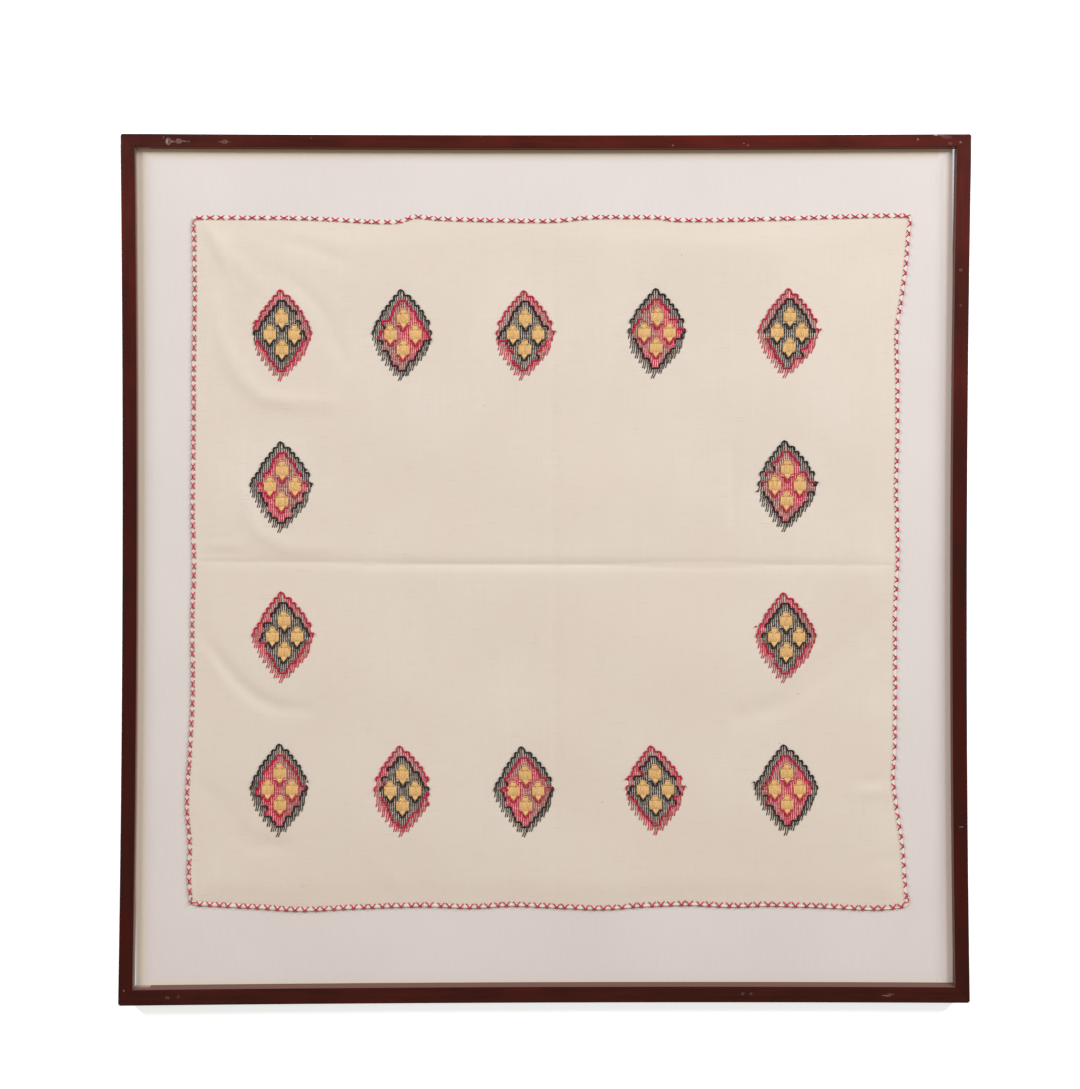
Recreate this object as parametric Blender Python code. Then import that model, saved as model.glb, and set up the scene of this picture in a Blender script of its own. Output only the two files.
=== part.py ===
"""Framed embroidered panel: a hand-hemmed cotton square with rows of stepped lozenges, lying
loose on a mount board inside a slim stained wooden frame.

The panel lies on its back. Its picture plane is XY with the top edge towards +Y, its face looks
along +Z, and the origin is the middle of the frame's outline, in the plane of the rails' backs.
"""
import math

import bmesh
import bpy
from mathutils import Matrix, Vector, kdtree
from mathutils.geometry import delaunay_2d_cdt, intersect_point_line

MM = 0.001
GAP = 0.3 * MM
SAME_POINT = 0.0001 * MM
SHARP_EDGE_DEGREES = 30

# Frame
FRAME_WIDTH = 900 * MM
FRAME_HEIGHT = 921 * MM
RAIL_DEPTH = 25 * MM
LIP_DEPTH = 8 * MM
RABBET_WIDTH = 5 * MM
OUTER_ARRIS = 1.5 * MM
INNER_ARRIS = 0.4 * MM
ARRIS_STEPS = 3
CORNER_RADIUS = 2.2 * MM
CORNER_STEPS = 4
BOW_STEPS = 14

# The rails in order round the frame, each with the way it is turned, the width of its face, how
# far it draws in at its middle and how far its lip splays in below the face
RAILS = (
    {"name": "rail_bottom", "turn": 0, "width": 17.0 * MM, "bow": 1.9 * MM, "splay": 2.4 * MM},
    {"name": "rail_right", "turn": 90, "width": 15.6 * MM, "bow": 4.1 * MM, "splay": 0.0},
    {"name": "rail_top", "turn": 180, "width": 13.8 * MM, "bow": 1.4 * MM, "splay": 0.0},
    {"name": "rail_left", "turn": 270, "width": 15.3 * MM, "bow": 3.4 * MM, "splay": 0.0},
)

# How far each corner stands out of the frame's even rectangle, in millimetres
OUT_OF_SQUARE = {
    "bottom left": (-3.0, -3.0),
    "bottom right": (1.0, 0.1),
    "top left": (-0.5, 1.6),
    "top right": (2.9, 1.2),
}

# Mount board
BOARD_THICKNESS = 12 * MM
BOARD_CLEARANCE = 0.4 * MM
BOARD_TOP = RAIL_DEPTH - LIP_DEPTH - GAP

# Cloth: the sheet's thickness, its rolled hem as rows of distance in from the edge and height,
# and the spacing of the points that carry its unevenness
CLOTH_THICKNESS = 1.2 * MM
CLOTH_BOTTOM = BOARD_TOP + GAP
HEM_EDGE_HEIGHT = 1.2 * MM
HEM_ROWS = (
    {"inset": 1.3 * MM, "height": 1.9 * MM},
    {"inset": 3.4 * MM, "height": 1.8 * MM},
    {"inset": 5.2 * MM, "height": 1.2 * MM},
)
CORNER_TURN_DEGREES = 45
CORNER_REACH = 1.45
FACE_SPACING = 27 * MM
BACK_SPACING = 32 * MM
OUTLINE_SPACING = 17 * MM
POINT_CLEARANCE = 5 * MM

# The cloth's edge, in millimetres from the frame's middle, clockwise from the top left corner
TOP_EDGE = (
    (-375.3, 372.3), (-368, 376), (-320, 376.2), (-253, 375.4), (-185, 372), (-156, 372),
    (-138, 377.2), (-106, 374.8), (0, 372.7), (52, 376.5), (116, 376.5), (142, 373.7), (200, 374),
    (265, 375.6), (350, 378.3), (386.6, 377.8),
)
RIGHT_EDGE = (
    (390.4, 374.5), (388.1, 350), (385.8, 322), (381.3, 288), (376.2, 252), (377, 195),
    (376.8, 128), (375.4, 84), (376.6, 57), (377.1, 9), (374.6, -45), (374.6, -120), (374.4, -166),
    (374, -198), (372.4, -224), (377.3, -263), (382, -294), (385.7, -343), (387.6, -354.5),
)
BOTTOM_EDGE = (
    (382.6, -360.4), (350, -363.6), (296, -361.2), (240, -359.5), (197, -360.6), (154, -358.7),
    (105, -360.2), (56, -363.2), (-30, -359.6), (-64, -361.3), (-86, -361.6), (-135, -360.2),
    (-204, -362.5), (-260, -365), (-307, -362.2), (-352, -359.7), (-374.5, -357.9),
)
LEFT_EDGE = (
    (-379.2, -350), (-381.2, -325), (-380.2, -292), (-383.2, -250), (-380.1, -195), (-377, -129),
    (-377.6, -60), (-375.7, 5), (-377.1, 62), (-376.1, 150), (-376.1, 210), (-374.9, 290),
    (-375.6, 350),
)

# How the loose cloth stands off its board inside its settled border: soft swells, then folds and
# old creases along their lines, in millimetres. A negative rise is a groove.
SWELL_BASE = 1.3 * MM
SETTLED_BORDER = 32 * MM
SWELLS = (
    {"rise": 0.45 * MM, "length": 310 * MM, "heading": 35, "shift": 40 * MM},
    {"rise": 0.35 * MM, "length": 190 * MM, "heading": 118, "shift": 15 * MM},
    {"rise": 0.25 * MM, "length": 135 * MM, "heading": 72, "shift": 70 * MM},
)
FOLDS = (
    {"name": "crease across", "width": 9, "rise": -1.0, "line": ((-366, 6), (366, 4))},
    {"name": "crease down", "width": 8, "rise": -0.45, "line": ((9, 366), (12, -350))},
    {
        "name": "corner ridge", "width": 14, "rise": 1.0,
        "line": ((-357, 366), (-332, 330), (-308, 303)),
    },
    {
        "name": "upper groove", "width": 14, "rise": -0.6,
        "line": ((-296, 352), (-249, 342), (-212, 328)),
    },
    {
        "name": "left ridge", "width": 15, "rise": 1.0,
        "line": ((-356, 280), (-344, 243), (-326, 207), (-302, 183), (-269, 178), (-229, 178)),
    },
    {
        "name": "groove by the first lozenge", "width": 12, "rise": -0.7,
        "line": ((-282, 313), (-255, 296), (-235, 270), (-224, 246), (-212, 220)),
    },
    {
        "name": "side ridge", "width": 12, "rise": 0.8,
        "line": ((-327, 127), (-323, 87), (-315, 57), (-302, 36), (-276, 24), (-235, 23)),
    },
    {"name": "edge ridge", "width": 7, "rise": 0.7, "line": ((-366, 27), (-318, 26))},
    {
        "name": "lower left groove", "width": 13, "rise": -0.9,
        "line": ((-368, -70), (-348, -97), (-327, -124), (-305, -142), (-285, -150), (-255, -150)),
    },
    {
        "name": "bottom left groove", "width": 13, "rise": -0.7,
        "line": ((-366, -230), (-347, -254), (-332, -277), (-312, -293), (-280, -296)),
    },
    {"name": "right crease", "width": 8, "rise": -0.6, "line": ((200, 129), (200, 50))},
    {
        "name": "right groove", "width": 15, "rise": -0.8,
        "line": ((358, -44), (340, -77), (306, -98), (279, -123), (252, -146), (207, -157)),
    },
    {"name": "right edge groove", "width": 8, "rise": -0.6, "line": ((336, -227), (366, -227))},
)
FOLD_POINT_SPACING = 26 * MM
FOLD_REACH = 1.6
FOLD_END_SHARE = 0.08

# Lozenges, worked in rows of stitches on a chart of steps: each has the middle of its stars'
# cross, its reach to the left and the right, its height, and how far its top and its foot drift
# to the right, in millimetres
STEP = 4.45
LOZENGES = (
    {"at": (-279.8, 249.2), "reach": (31.5, 32.4), "height": 95.9, "drift": (-0.7, -1.2)},
    {"at": (-150.7, 249.2), "reach": (33.9, 31.1), "height": 95.9, "drift": (-1.4, -2.0)},
    {"at": (-20.4, 249.1), "reach": (32.2, 31.0), "height": 94.2, "drift": (-0.9, -3.8)},
    {"at": (119.4, 251.3), "reach": (31.5, 31.4), "height": 94.2, "drift": (-0.2, -2.9)},
    {"at": (260.6, 251.3), "reach": (34.3, 32.0), "height": 94.2, "drift": (-0.3, -4.1)},
    {"at": (-279.4, 87.4), "reach": (35.1, 32.0), "height": 96.0, "drift": (-0.8, -1.9)},
    {"at": (258.4, 88.5), "reach": (32.1, 32.0), "height": 96.0, "drift": (-2.2, -2.8)},
    {"at": (-276.8, -72.4), "reach": (35.4, 31.2), "height": 95.9, "drift": (-2.9, -2.9)},
    {"at": (257.2, -72.9), "reach": (33.0, 32.6), "height": 95.2, "drift": (-2.2, -2.2)},
    {"at": (-282.1, -235.3), "reach": (32.4, 30.5), "height": 97.9, "drift": (0.5, -0.6)},
    {"at": (-150.9, -236.3), "reach": (31.6, 28.6), "height": 95.9, "drift": (-2.7, -1.2)},
    {"at": (-20.0, -236.8), "reach": (34.7, 30.3), "height": 95.2, "drift": (-4.0, -0.8)},
    {"at": (117.7, -235.3), "reach": (31.9, 31.4), "height": 94.2, "drift": (-3.8, 1.5)},
    {"at": (258.0, -234.8), "reach": (35.4, 33.3), "height": 95.2, "drift": (-2.7, -0.1)},
)
ROW_REACH = (1, 2, 3, 4, 5, 5.5, 6.5, 7, 8, 8, 7.5, 6.5, 6, 5, 4, 3, 2, 0.6)
STITCH_ROWS = len(ROW_REACH)
WIDEST_STEPS = 8
STITCH_RISE = 0.7 * MM
STITCH_EDGE = 0.5 * MM

# Stars on each lozenge: the row that each starts on and its place sideways, in steps
STARS = (
    {"row": 4, "across": 0},
    {"row": 7, "across": -3},
    {"row": 7, "across": 3},
    {"row": 10, "across": 0},
)
STAR_HALF_WIDTHS = (
    {"row": 0, "steps": 0.6},
    {"row": 1, "steps": 1.6},
    {"row": 3, "steps": 1.6},
    {"row": 4, "steps": 0.2},
)
STAR_RISE = 0.35 * MM


def clear_scene():
    for item in list(bpy.data.objects):
        bpy.data.objects.remove(item, do_unlink=True)


def make_material(name, colour, roughness):
    material = bpy.data.materials.new(name)
    material.use_nodes = True
    shader = material.node_tree.nodes["Principled BSDF"]
    shader.inputs["Base Color"].default_value = (*colour, 1.0)
    shader.inputs["Roughness"].default_value = roughness
    shader.inputs["Metallic"].default_value = 0.0
    return material


def add_object(name, mesh_data, material):
    """Turns a bmesh into a named object whose faces point outwards."""
    bmesh.ops.recalc_face_normals(mesh_data, faces=mesh_data.faces)
    mesh = bpy.data.meshes.new(name)
    mesh_data.to_mesh(mesh)
    mesh_data.free()
    mesh.materials.append(material)
    mesh.shade_smooth()
    mesh.set_sharp_from_angle(angle=math.radians(SHARP_EDGE_DEGREES))
    item = bpy.data.objects.new(name, mesh)
    bpy.context.scene.collection.objects.link(item)
    return item


def rail_section(width, splay):
    """The moulding's section as (distance in from the outer side, height, on the outer side)."""
    section = [(0.0, 0.0, True)]
    for step in range(ARRIS_STEPS + 1):
        angle = math.pi / 2 * step / ARRIS_STEPS
        inward = OUTER_ARRIS * (1 - math.cos(angle))
        height = RAIL_DEPTH - OUTER_ARRIS * (1 - math.sin(angle))
        section.append((inward, height, True))
    section.append((width - INNER_ARRIS, RAIL_DEPTH, False))
    section.append((width, RAIL_DEPTH - INNER_ARRIS, False))
    if splay:
        section.append((width + splay, RAIL_DEPTH - LIP_DEPTH, False))
    section.append((width, RAIL_DEPTH - LIP_DEPTH, False))
    section.append((width - RABBET_WIDTH, RAIL_DEPTH - LIP_DEPTH, False))
    section.append((width - RABBET_WIDTH, 0.0, False))
    return section


def rail_stations(length):
    """Where the section is set along a rail, as (distance from the start, corner set-back)."""
    corner = []
    for step in range(CORNER_STEPS + 1):
        angle = math.pi / 4 * (1 + step / CORNER_STEPS)
        along = CORNER_RADIUS * (math.sin(angle) - math.cos(angle))
        set_back = CORNER_RADIUS * (1 - math.sin(angle))
        corner.append((along, set_back))
    first, last = corner[-1][0], length - corner[-1][0]
    middle = [(first + (last - first) * step / BOW_STEPS, 0.0) for step in range(1, BOW_STEPS)]
    far_corner = [(length - along, set_back) for along, set_back in reversed(corner)]
    return corner + middle + far_corner


def out_of_square(place):
    """The place, carried along by the corners that stand out of square."""
    shift = {corner: Vector(amount) * MM for corner, amount in OUT_OF_SQUARE.items()}
    right = place.x / FRAME_WIDTH + 0.5
    low = shift["bottom left"].lerp(shift["bottom right"], right)
    high = shift["top left"].lerp(shift["top right"], right)
    return place + low.lerp(high, place.y / FRAME_HEIGHT + 0.5)


def make_rail(rail, length, half_span, start_width, end_width, material):
    """One mitred rail, drawn along its outer edge with its inner side up, then turned in place.
    A splayed lip butts against the neighbours' lips."""
    width, splay = rail["width"], rail["splay"]
    mesh_data = bmesh.new()
    spin = Matrix.Rotation(math.radians(rail["turn"]), 2)
    mitre_gap = GAP / 2 * math.sqrt(2)
    rings = []
    for along, set_back in rail_stations(length):
        share = along / length
        draw_in = rail["bow"] * 4 * share * (1 - share)
        ring = []
        for inward, height, outer in rail_section(width, splay):
            depth = inward + set_back if outer else inward
            mitred = min(depth, width)
            start = mitred * start_width / width + mitre_gap
            end = length - mitred * end_width / width - mitre_gap
            along_rail = start + (end - start) * share - length / 2
            place = out_of_square(spin @ Vector((along_rail, depth + draw_in - half_span)))
            ring.append(mesh_data.verts.new((place.x, place.y, height)))
        rings.append(ring)
    count = len(rings[0])
    for near, far in zip(rings, rings[1:]):
        for i in range(count):
            mesh_data.faces.new((near[i], near[(i + 1) % count], far[(i + 1) % count], far[i]))
    for ring in rings[0], rings[-1]:
        if splay:
            mesh_data.faces.new(ring[-5:-2])
        mesh_data.faces.new(ring[:-4] + ring[-3:] if splay else ring)
    add_object(rail["name"], mesh_data, material)


def make_frame(material):
    for index, rail in enumerate(RAILS):
        level = rail["turn"] in (0, 180)
        make_rail(
            rail,
            FRAME_WIDTH if level else FRAME_HEIGHT,
            (FRAME_HEIGHT if level else FRAME_WIDTH) / 2,
            RAILS[index - 1]["width"],
            RAILS[(index + 1) % len(RAILS)]["width"],
            material,
        )


def make_board(material):
    """A plain rectangle, cut to drop between the rabbets where the rails draw in the most."""
    wall = {rail["name"]: rail["width"] - RABBET_WIDTH + rail["bow"] + BOARD_CLEARANCE for rail in RAILS}
    low = Vector((wall["rail_left"] - FRAME_WIDTH / 2, wall["rail_bottom"] - FRAME_HEIGHT / 2))
    high = Vector((FRAME_WIDTH / 2 - wall["rail_right"], FRAME_HEIGHT / 2 - wall["rail_top"]))
    mesh_data = bmesh.new()
    bmesh.ops.create_cube(mesh_data, size=1.0)
    bmesh.ops.scale(mesh_data, vec=(high.x - low.x, high.y - low.y, BOARD_THICKNESS), verts=mesh_data.verts)
    board = add_object("mount_board", mesh_data, material)
    middle = (low + high) / 2
    board.location = (middle.x, middle.y, BOARD_TOP - BOARD_THICKNESS / 2)


def closed_curve(points, spacing):
    """Points on a smooth closed curve through the given ones, about one spacing apart."""
    curve = []
    count = len(points)
    for i in range(count):
        before, start, end, after = (points[(i + k) % count] for k in (-1, 0, 1, 2))
        steps = max(1, round((end - start).length / spacing))
        for step in range(steps):
            t = step / steps
            pull = (end - before) * t * 0.5
            bend = (before * 2 - start * 5 + end * 4 - after) * t * t * 0.5
            twist = (start * 3 - before - end * 3 + after) * t * t * t * 0.5
            curve.append(start + pull + bend + twist)
    return curve


def edge_distance(point, outline):
    """How far a point lies from the cloth's edge."""
    nearest = math.inf
    for start, end in zip(outline, outline[1:] + outline[:1]):
        foot, share = intersect_point_line(point, start, end)
        foot = start if share < 0 else end if share > 1 else foot
        nearest = min(nearest, (foot - point).length)
    return nearest


def inside(point, outline):
    crossings = 0
    for start, end in zip(outline, outline[1:] + outline[:1]):
        if (start.y > point.y) != (end.y > point.y):
            share = (point.y - start.y) / (end.y - start.y)
            crossings += point.x < start.x + share * (end.x - start.x)
    return crossings % 2 == 1


def fold_line(fold):
    return [Vector(point) * MM for point in fold["line"]]


def off_fold(point, fold):
    """How far a point lies off a fold's line, and its share of the way along it."""
    line = fold_line(fold)
    length = sum((end - start).length for start, end in zip(line, line[1:]))
    best, passed = (math.inf, 0.0), 0.0
    for start, end in zip(line, line[1:]):
        along = end - start
        share = min(max((point - start).dot(along) / along.length_squared, 0.0), 1.0)
        distance = (point - start - along * share).length
        best = min(best, (distance, (passed + along.length * share) / length))
        passed += along.length
    return best


def lift(point, outline):
    """How far the cloth's underside stands off its lowest plane."""
    height = SWELL_BASE
    for swell in SWELLS:
        angle = math.radians(swell["heading"])
        travel = point.x * math.cos(angle) + point.y * math.sin(angle) + swell["shift"]
        height += swell["rise"] * math.sin(math.tau * travel / swell["length"])
    for fold in FOLDS:
        distance, share = off_fold(point, fold)
        off = distance / (fold["width"] * MM)
        fade = math.sqrt(math.sin(math.pi * min(max(share, FOLD_END_SHARE), 1 - FOLD_END_SHARE)))
        height += fold["rise"] * MM * fade * math.exp(-2 * off * off)
    border = min(edge_distance(point, outline) / SETTLED_BORDER, 1.0)
    return max(height, 0.0) * border * border * (3 - 2 * border)


def fold_points():
    """Points along the bottom and both feet of every fold, which both faces of the cloth share."""
    points = []
    for fold in FOLDS:
        line = fold_line(fold)
        for start, end in zip(line, line[1:]):
            along = end - start
            across = Vector((-along.y, along.x)).normalized() * fold["width"] * MM
            count = max(1, round(along.length / FOLD_POINT_SPACING))
            for step in range(count + 1):
                for side in (-1, 0, 1):
                    points.append(start + along * (step / count) + across * side)
    return points


def grid_points(spacing):
    """An even grid of points that leaves the folds to their own points."""
    half_count = math.ceil(max(FRAME_WIDTH, FRAME_HEIGHT) / 2 / spacing)
    cells = range(-half_count, half_count + 1)
    grid = [Vector((column * spacing, row * spacing)) for column in cells for row in cells]
    reach = FOLD_REACH * MM
    return [p for p in grid if all(off_fold(p, fold)[0] > fold["width"] * reach for fold in FOLDS)]


def thin_out(candidates, taken):
    """The candidates that keep clear of the taken points and of each other."""
    tree = kdtree.KDTree(len(taken))
    for index, point in enumerate(taken):
        tree.insert(point.to_3d(), index)
    tree.balance()
    kept = []
    for point in candidates:
        clear_of_taken = tree.find(point.to_3d())[2] >= POINT_CLEARANCE
        if clear_of_taken and all((point - other).length >= POINT_CLEARANCE for other in kept):
            kept.append(point)
    return kept


def lozenge_place(lozenge, across, down):
    """A point of the chart, given in steps across and rows down, on the cloth."""
    reach = lozenge["reach"][0 if across < 0 else 1]
    squeeze = (STEP * WIDEST_STEPS - reach) * (across / WIDEST_STEPS) ** 3
    bend = 1 - down / STITCH_ROWS * 2
    drift = lozenge["drift"][0 if bend > 0 else 1] * abs(bend) ** 1.5
    x = lozenge["at"][0] + across * STEP - squeeze + drift
    y = lozenge["at"][1] + lozenge["height"] * (0.5 - down / STITCH_ROWS)
    return Vector((x, y)) * MM


def stepped_outline(lozenge, grow):
    """The lozenge's stair-like outline, clockwise from its top, moved out by grow."""
    right_side = []
    middle = STITCH_ROWS // 2
    for row, across in enumerate(ROW_REACH):
        if row != middle:
            right_side.append((across, row, grow if row < middle else -grow))
        if row != middle - 1:
            right_side.append((across, row + 1, grow if row < middle else -grow))
    outline = []
    for side, chart in ((1, right_side), (-1, list(reversed(right_side)))):
        for across, down, away in chart:
            corner = lozenge_place(lozenge, side * across, down)
            outline.append(corner + Vector((side * grow, away)))
    return outline


def star_outline(lozenge, star, grow):
    outline = []
    for side, rows in ((1, STAR_HALF_WIDTHS), (-1, tuple(reversed(STAR_HALF_WIDTHS)))):
        for point in rows:
            across = star["across"] + side * point["steps"]
            corner = lozenge_place(lozenge, across, star["row"] + point["row"])
            away = grow if point["row"] < 2 else -grow
            outline.append(corner + Vector((side * grow, away)))
    return outline


def ring_edges(start, count):
    return [(start + i, start + (i + 1) % count) for i in range(count)]


def inset_ring(outline, inset):
    """The outline moved in by the inset: a corner's own point reaches in further than the rest,
    and the points that would crowd it are left out."""
    ring = []
    for i, point in enumerate(outline):
        before, after = outline[i - 1], outline[(i + 1) % len(outline)]
        along = (after - before).normalized()
        corner = (point - before).angle(after - point) > math.radians(CORNER_TURN_DEGREES)
        reach = inset * CORNER_REACH if corner else inset
        moved = point + Vector((along.y, -along.x)) * reach
        if edge_distance(moved, outline) > inset - GAP:
            ring.append(moved)
    return ring


def cloth_face(outline):
    """The face's points with their heights over the lifted underside, and the edges it keeps."""
    points = list(outline)
    heights = [HEM_EDGE_HEIGHT] * len(outline)
    edges = ring_edges(0, len(outline))
    for lozenge in LOZENGES:
        rings = [(stepped_outline(lozenge, STITCH_EDGE), 0.0), (stepped_outline(lozenge, 0.0), STITCH_RISE)]
        for star in STARS:
            rings.append((star_outline(lozenge, star, 0.0), STITCH_RISE))
            rings.append((star_outline(lozenge, star, -STITCH_EDGE), STITCH_RISE + STAR_RISE))
        for ring, rise in rings:
            edges += ring_edges(len(points), len(ring))
            points += ring
            heights += [CLOTH_THICKNESS + rise] * len(ring)
    for row in HEM_ROWS:
        ring = inset_ring(outline, row["inset"])
        edges += ring_edges(len(points), len(ring))
        points += ring
        heights += [row["height"]] * len(ring)
    hem = HEM_ROWS[-1]["inset"] + POINT_CLEARANCE
    stitched = [stepped_outline(lozenge, POINT_CLEARANCE) for lozenge in LOZENGES]
    loose = [
        point
        for point in fold_points() + grid_points(FACE_SPACING)
        if inside(point, outline)
        and edge_distance(point, outline) > hem
        and not any(inside(point, lozenge) for lozenge in stitched)
    ]
    loose = thin_out(loose, points)
    heights += [CLOTH_THICKNESS] * len(loose)
    return points + loose, heights, edges


def cloth_back(outline):
    inset = HEM_ROWS[-1]["inset"] + POINT_CLEARANCE
    loose = [
        point
        for point in fold_points() + grid_points(BACK_SPACING)
        if inside(point, outline) and edge_distance(point, outline) > inset
    ]
    return list(outline) + thin_out(loose, outline), ring_edges(0, len(outline))


def triangles(points, edges):
    """The triangles between the given points that lie inside the outer ring of edges."""
    inside_only = 1
    found = delaunay_2d_cdt(points, edges, [], inside_only, SAME_POINT)
    origin = [sources[0] for sources in found[3]]
    return [tuple(origin[corner] for corner in face) for face in found[2]]


def make_cloth(material):
    """One closed sheet: an embroidered face and a plain back, joined along the hem's edge."""
    corners = [Vector(point) * MM for point in TOP_EDGE + RIGHT_EDGE + BOTTOM_EDGE + LEFT_EDGE]
    outline = closed_curve(corners, OUTLINE_SPACING)
    mesh_data = bmesh.new()

    face_points, heights, face_edges = cloth_face(outline)
    face = []
    for point, height in zip(face_points, heights):
        level = CLOTH_BOTTOM + lift(point, outline) + height
        face.append(mesh_data.verts.new((point.x, point.y, level)))
    for corners_used in triangles(face_points, face_edges):
        mesh_data.faces.new([face[i] for i in corners_used])

    back_points, back_edges = cloth_back(outline)
    back = []
    for point in back_points:
        back.append(mesh_data.verts.new((point.x, point.y, CLOTH_BOTTOM + lift(point, outline))))
    for corners_used in triangles(back_points, back_edges):
        mesh_data.faces.new([back[i] for i in reversed(corners_used)])

    for i, j in ring_edges(0, len(outline)):
        mesh_data.faces.new((face[i], face[j], back[j], back[i]))
    add_object("cloth", mesh_data, material)


clear_scene()
make_frame(make_material("stained_wood", (0.075, 0.018, 0.012), 0.42))
make_board(make_material("mount_board", (0.72, 0.67, 0.62), 0.9))
make_cloth(make_material("handwoven_cotton", (0.74, 0.65, 0.55), 0.95))
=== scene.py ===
"""Looks for the framed embroidered panel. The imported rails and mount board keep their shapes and
get their finishes. A fine cloth with its rolled hem, the cross stitches round it and the lozenges
of looped stitches stand for the plain cloth solid. Sizes are in metres in the CAD frame, where +Z
is out of the embroidered face and +Y is its top edge.
"""
import math
import random

import bpy
import numpy as np
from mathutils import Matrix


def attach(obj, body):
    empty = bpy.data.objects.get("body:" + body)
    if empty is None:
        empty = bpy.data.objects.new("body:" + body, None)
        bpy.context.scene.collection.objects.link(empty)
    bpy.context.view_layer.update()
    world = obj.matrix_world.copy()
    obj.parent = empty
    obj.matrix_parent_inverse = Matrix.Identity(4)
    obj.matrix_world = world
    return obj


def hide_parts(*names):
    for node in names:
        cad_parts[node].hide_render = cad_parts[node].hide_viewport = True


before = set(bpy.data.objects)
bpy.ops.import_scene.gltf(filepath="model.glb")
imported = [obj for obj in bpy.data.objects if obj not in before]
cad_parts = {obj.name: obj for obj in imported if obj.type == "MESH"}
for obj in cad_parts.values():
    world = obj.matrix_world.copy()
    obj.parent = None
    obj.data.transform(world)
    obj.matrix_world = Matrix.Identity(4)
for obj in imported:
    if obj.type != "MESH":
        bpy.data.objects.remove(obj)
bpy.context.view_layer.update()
MM = 0.001


# Frame rails: four lengths of slim hardwood moulding, stained red-brown, rubbed to a low shine,
# mitred and pinned at the corners. Old paste, drips and knocks have left pale rings, specks and
# scratches on the faces. The outer arris, turned away from the lights, is painted dark as shade,
# and near the top right corner pale greyish, as a highlight on worn wood. The stain is painted
# lighter towards the top and the right, where the light falls strongest.
FACE_LEVEL = 25.0 * MM
MARK_WANDER = 2.4 * MM
MARK_DEPTH = 4.0 * MM
STAIN_DARK = (0.033, 0.0086, 0.0063, 1.0)
STAIN_RED = (0.055, 0.0108, 0.0078, 1.0)
STAIN_WARM = (0.053, 0.0076, 0.0053, 1.0)
STAIN_LIT = (0.095, 0.0128, 0.0086, 1.0)
STAIN_BARE_LIT = (0.16, 0.085, 0.08, 1.0)
ARRIS_SHADE = (0.006, 0.001, 0.0012, 1.0)
LIP_BARE_AND_BOUNCE = (0.155, 0.08, 0.067, 1.0)
LIP_FOOT_HIGHLIGHT = (0.44, 0.34, 0.29, 1.0)
PASTE_AND_HIGHLIGHT_PALE = (0.42, 0.3, 0.27, 1.0)

# Marks on the rails in millimetres: place, half-width, half-height, how far the pale colour covers
# the stain, and how hollow the mark is
PALE_MARKS_AT = (
    (-399.3, 453.5, 3.3, 3.9, 0.45, 1.0), (-400.4, 453.6, 1.3, 2.3, 0.75, 0.0),
    (-395.0, 453.3, 1.2, 1.1, 0.5, 0.0), (-392.8, 453.3, 0.9, 0.9, 0.45, 0.0),
    (-388.0, 453.8, 3.5, 2.7, 0.45, 1.0), (-388.0, 453.9, 1.1, 1.2, 0.4, 0.6),
    (-382.4, 453.5, 2.6, 0.8, 0.4, 0.0), (-378.0, 453.4, 1.6, 0.5, 0.3, 0.0),
    (-404.3, 457.5, 0.6, 1.8, 0.25, 0.0), (-339.3, 453.0, 3.6, 2.3, 0.28, 1.0),
    (-339.3, 453.0, 7.6, 0.6, 0.28, 0.0), (-338.8, 452.6, 1.2, 1.0, 0.3, 0.5),
    (-247.8, 456.8, 0.8, 0.7, 0.5, 0.0), (135.7, 449.3, 1.0, 0.8, 0.6, 0.0),
    (210.9, 451.5, 0.9, 0.7, 0.5, 0.0), (215.2, 449.3, 0.8, 0.8, 0.5, 0.0),
    (395.3, 455.7, 1.2, 1.0, 0.6, 0.0), (414.4, 460.2, 2.2, 0.9, 0.9, 0.0),
    (420.5, 459.8, 3.2, 0.5, 0.4, 0.0), (440.5, 452.6, 1.2, 0.9, 0.5, 0.0),
    (440.9, 316.9, 1.8, 1.6, 0.25, 0.8), (440.9, 279.8, 1.5, 1.5, 0.22, 0.8),
    (441.3, -273.2, 2.6, 0.5, 0.4, 0.0), (-400.4, -454.4, 2.2, 1.7, 0.25, 0.8),
    (-388.7, -453.3, 1.5, 1.3, 0.22, 0.8), (209.9, -450.1, 1.9, 1.4, 0.25, 0.8),
    (218.4, -450.1, 1.6, 1.3, 0.22, 0.8), (362.4, -452.3, 5.5, 0.6, 0.4, 0.0),
    (366.5, -450.6, 4.0, 0.5, 0.25, 0.0), (-446.3, -447.0, 1.0, 1.4, 0.35, 0.0),
    (430.0, 451.5, 2.0, 1.6, 0.18, 0.7), (-449.8, 452.0, 2.2, 9.0, 0.08, 0.0),
    # The streaks at x 441, 452.6 and 426 along the top right corner's outer edges are painted highlights on
    # the arris.
    (-436.0, 461.8, 12.0, 1.4, 0.12, 0.0), (441.0, 462.0, 17.0, 1.6, 0.4, 0.0),
    (452.6, 452.0, 1.6, 12.0, 0.35, 0.0), (426.0, 458.4, 6.0, 2.0, 0.12, 0.0),
)


def feed(tree, socket, value):
    """Links another node's output to a socket, or sets the socket to a plain value."""
    if isinstance(value, bpy.types.NodeSocket):
        tree.links.new(value, socket)
    else:
        socket.default_value = value


def place(tree, kind, choices=None, **inputs):
    """Adds a shader node. Choices are its own settings, and inputs are values or other outputs."""
    node = tree.nodes.new("ShaderNode" + kind)
    for name, value in (choices or {}).items():
        setattr(node, name, value)
    for name, value in inputs.items():
        feed(tree, node.inputs[name.replace("_", " ")], value)
    return node


def maths(tree, operation, *values, kind="Math", result="Value"):
    """The result of one step of arithmetic on values or outputs."""
    node = place(tree, kind, {"operation": operation})
    for socket, value in zip(node.inputs, values):
        feed(tree, socket, value)
    return node.outputs[result]


def times(tree, first, second):
    return maths(tree, "MULTIPLY", first, second)


def vector_maths(tree, operation, *values):
    return maths(tree, operation, *values, kind="VectorMath", result="Vector")


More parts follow.
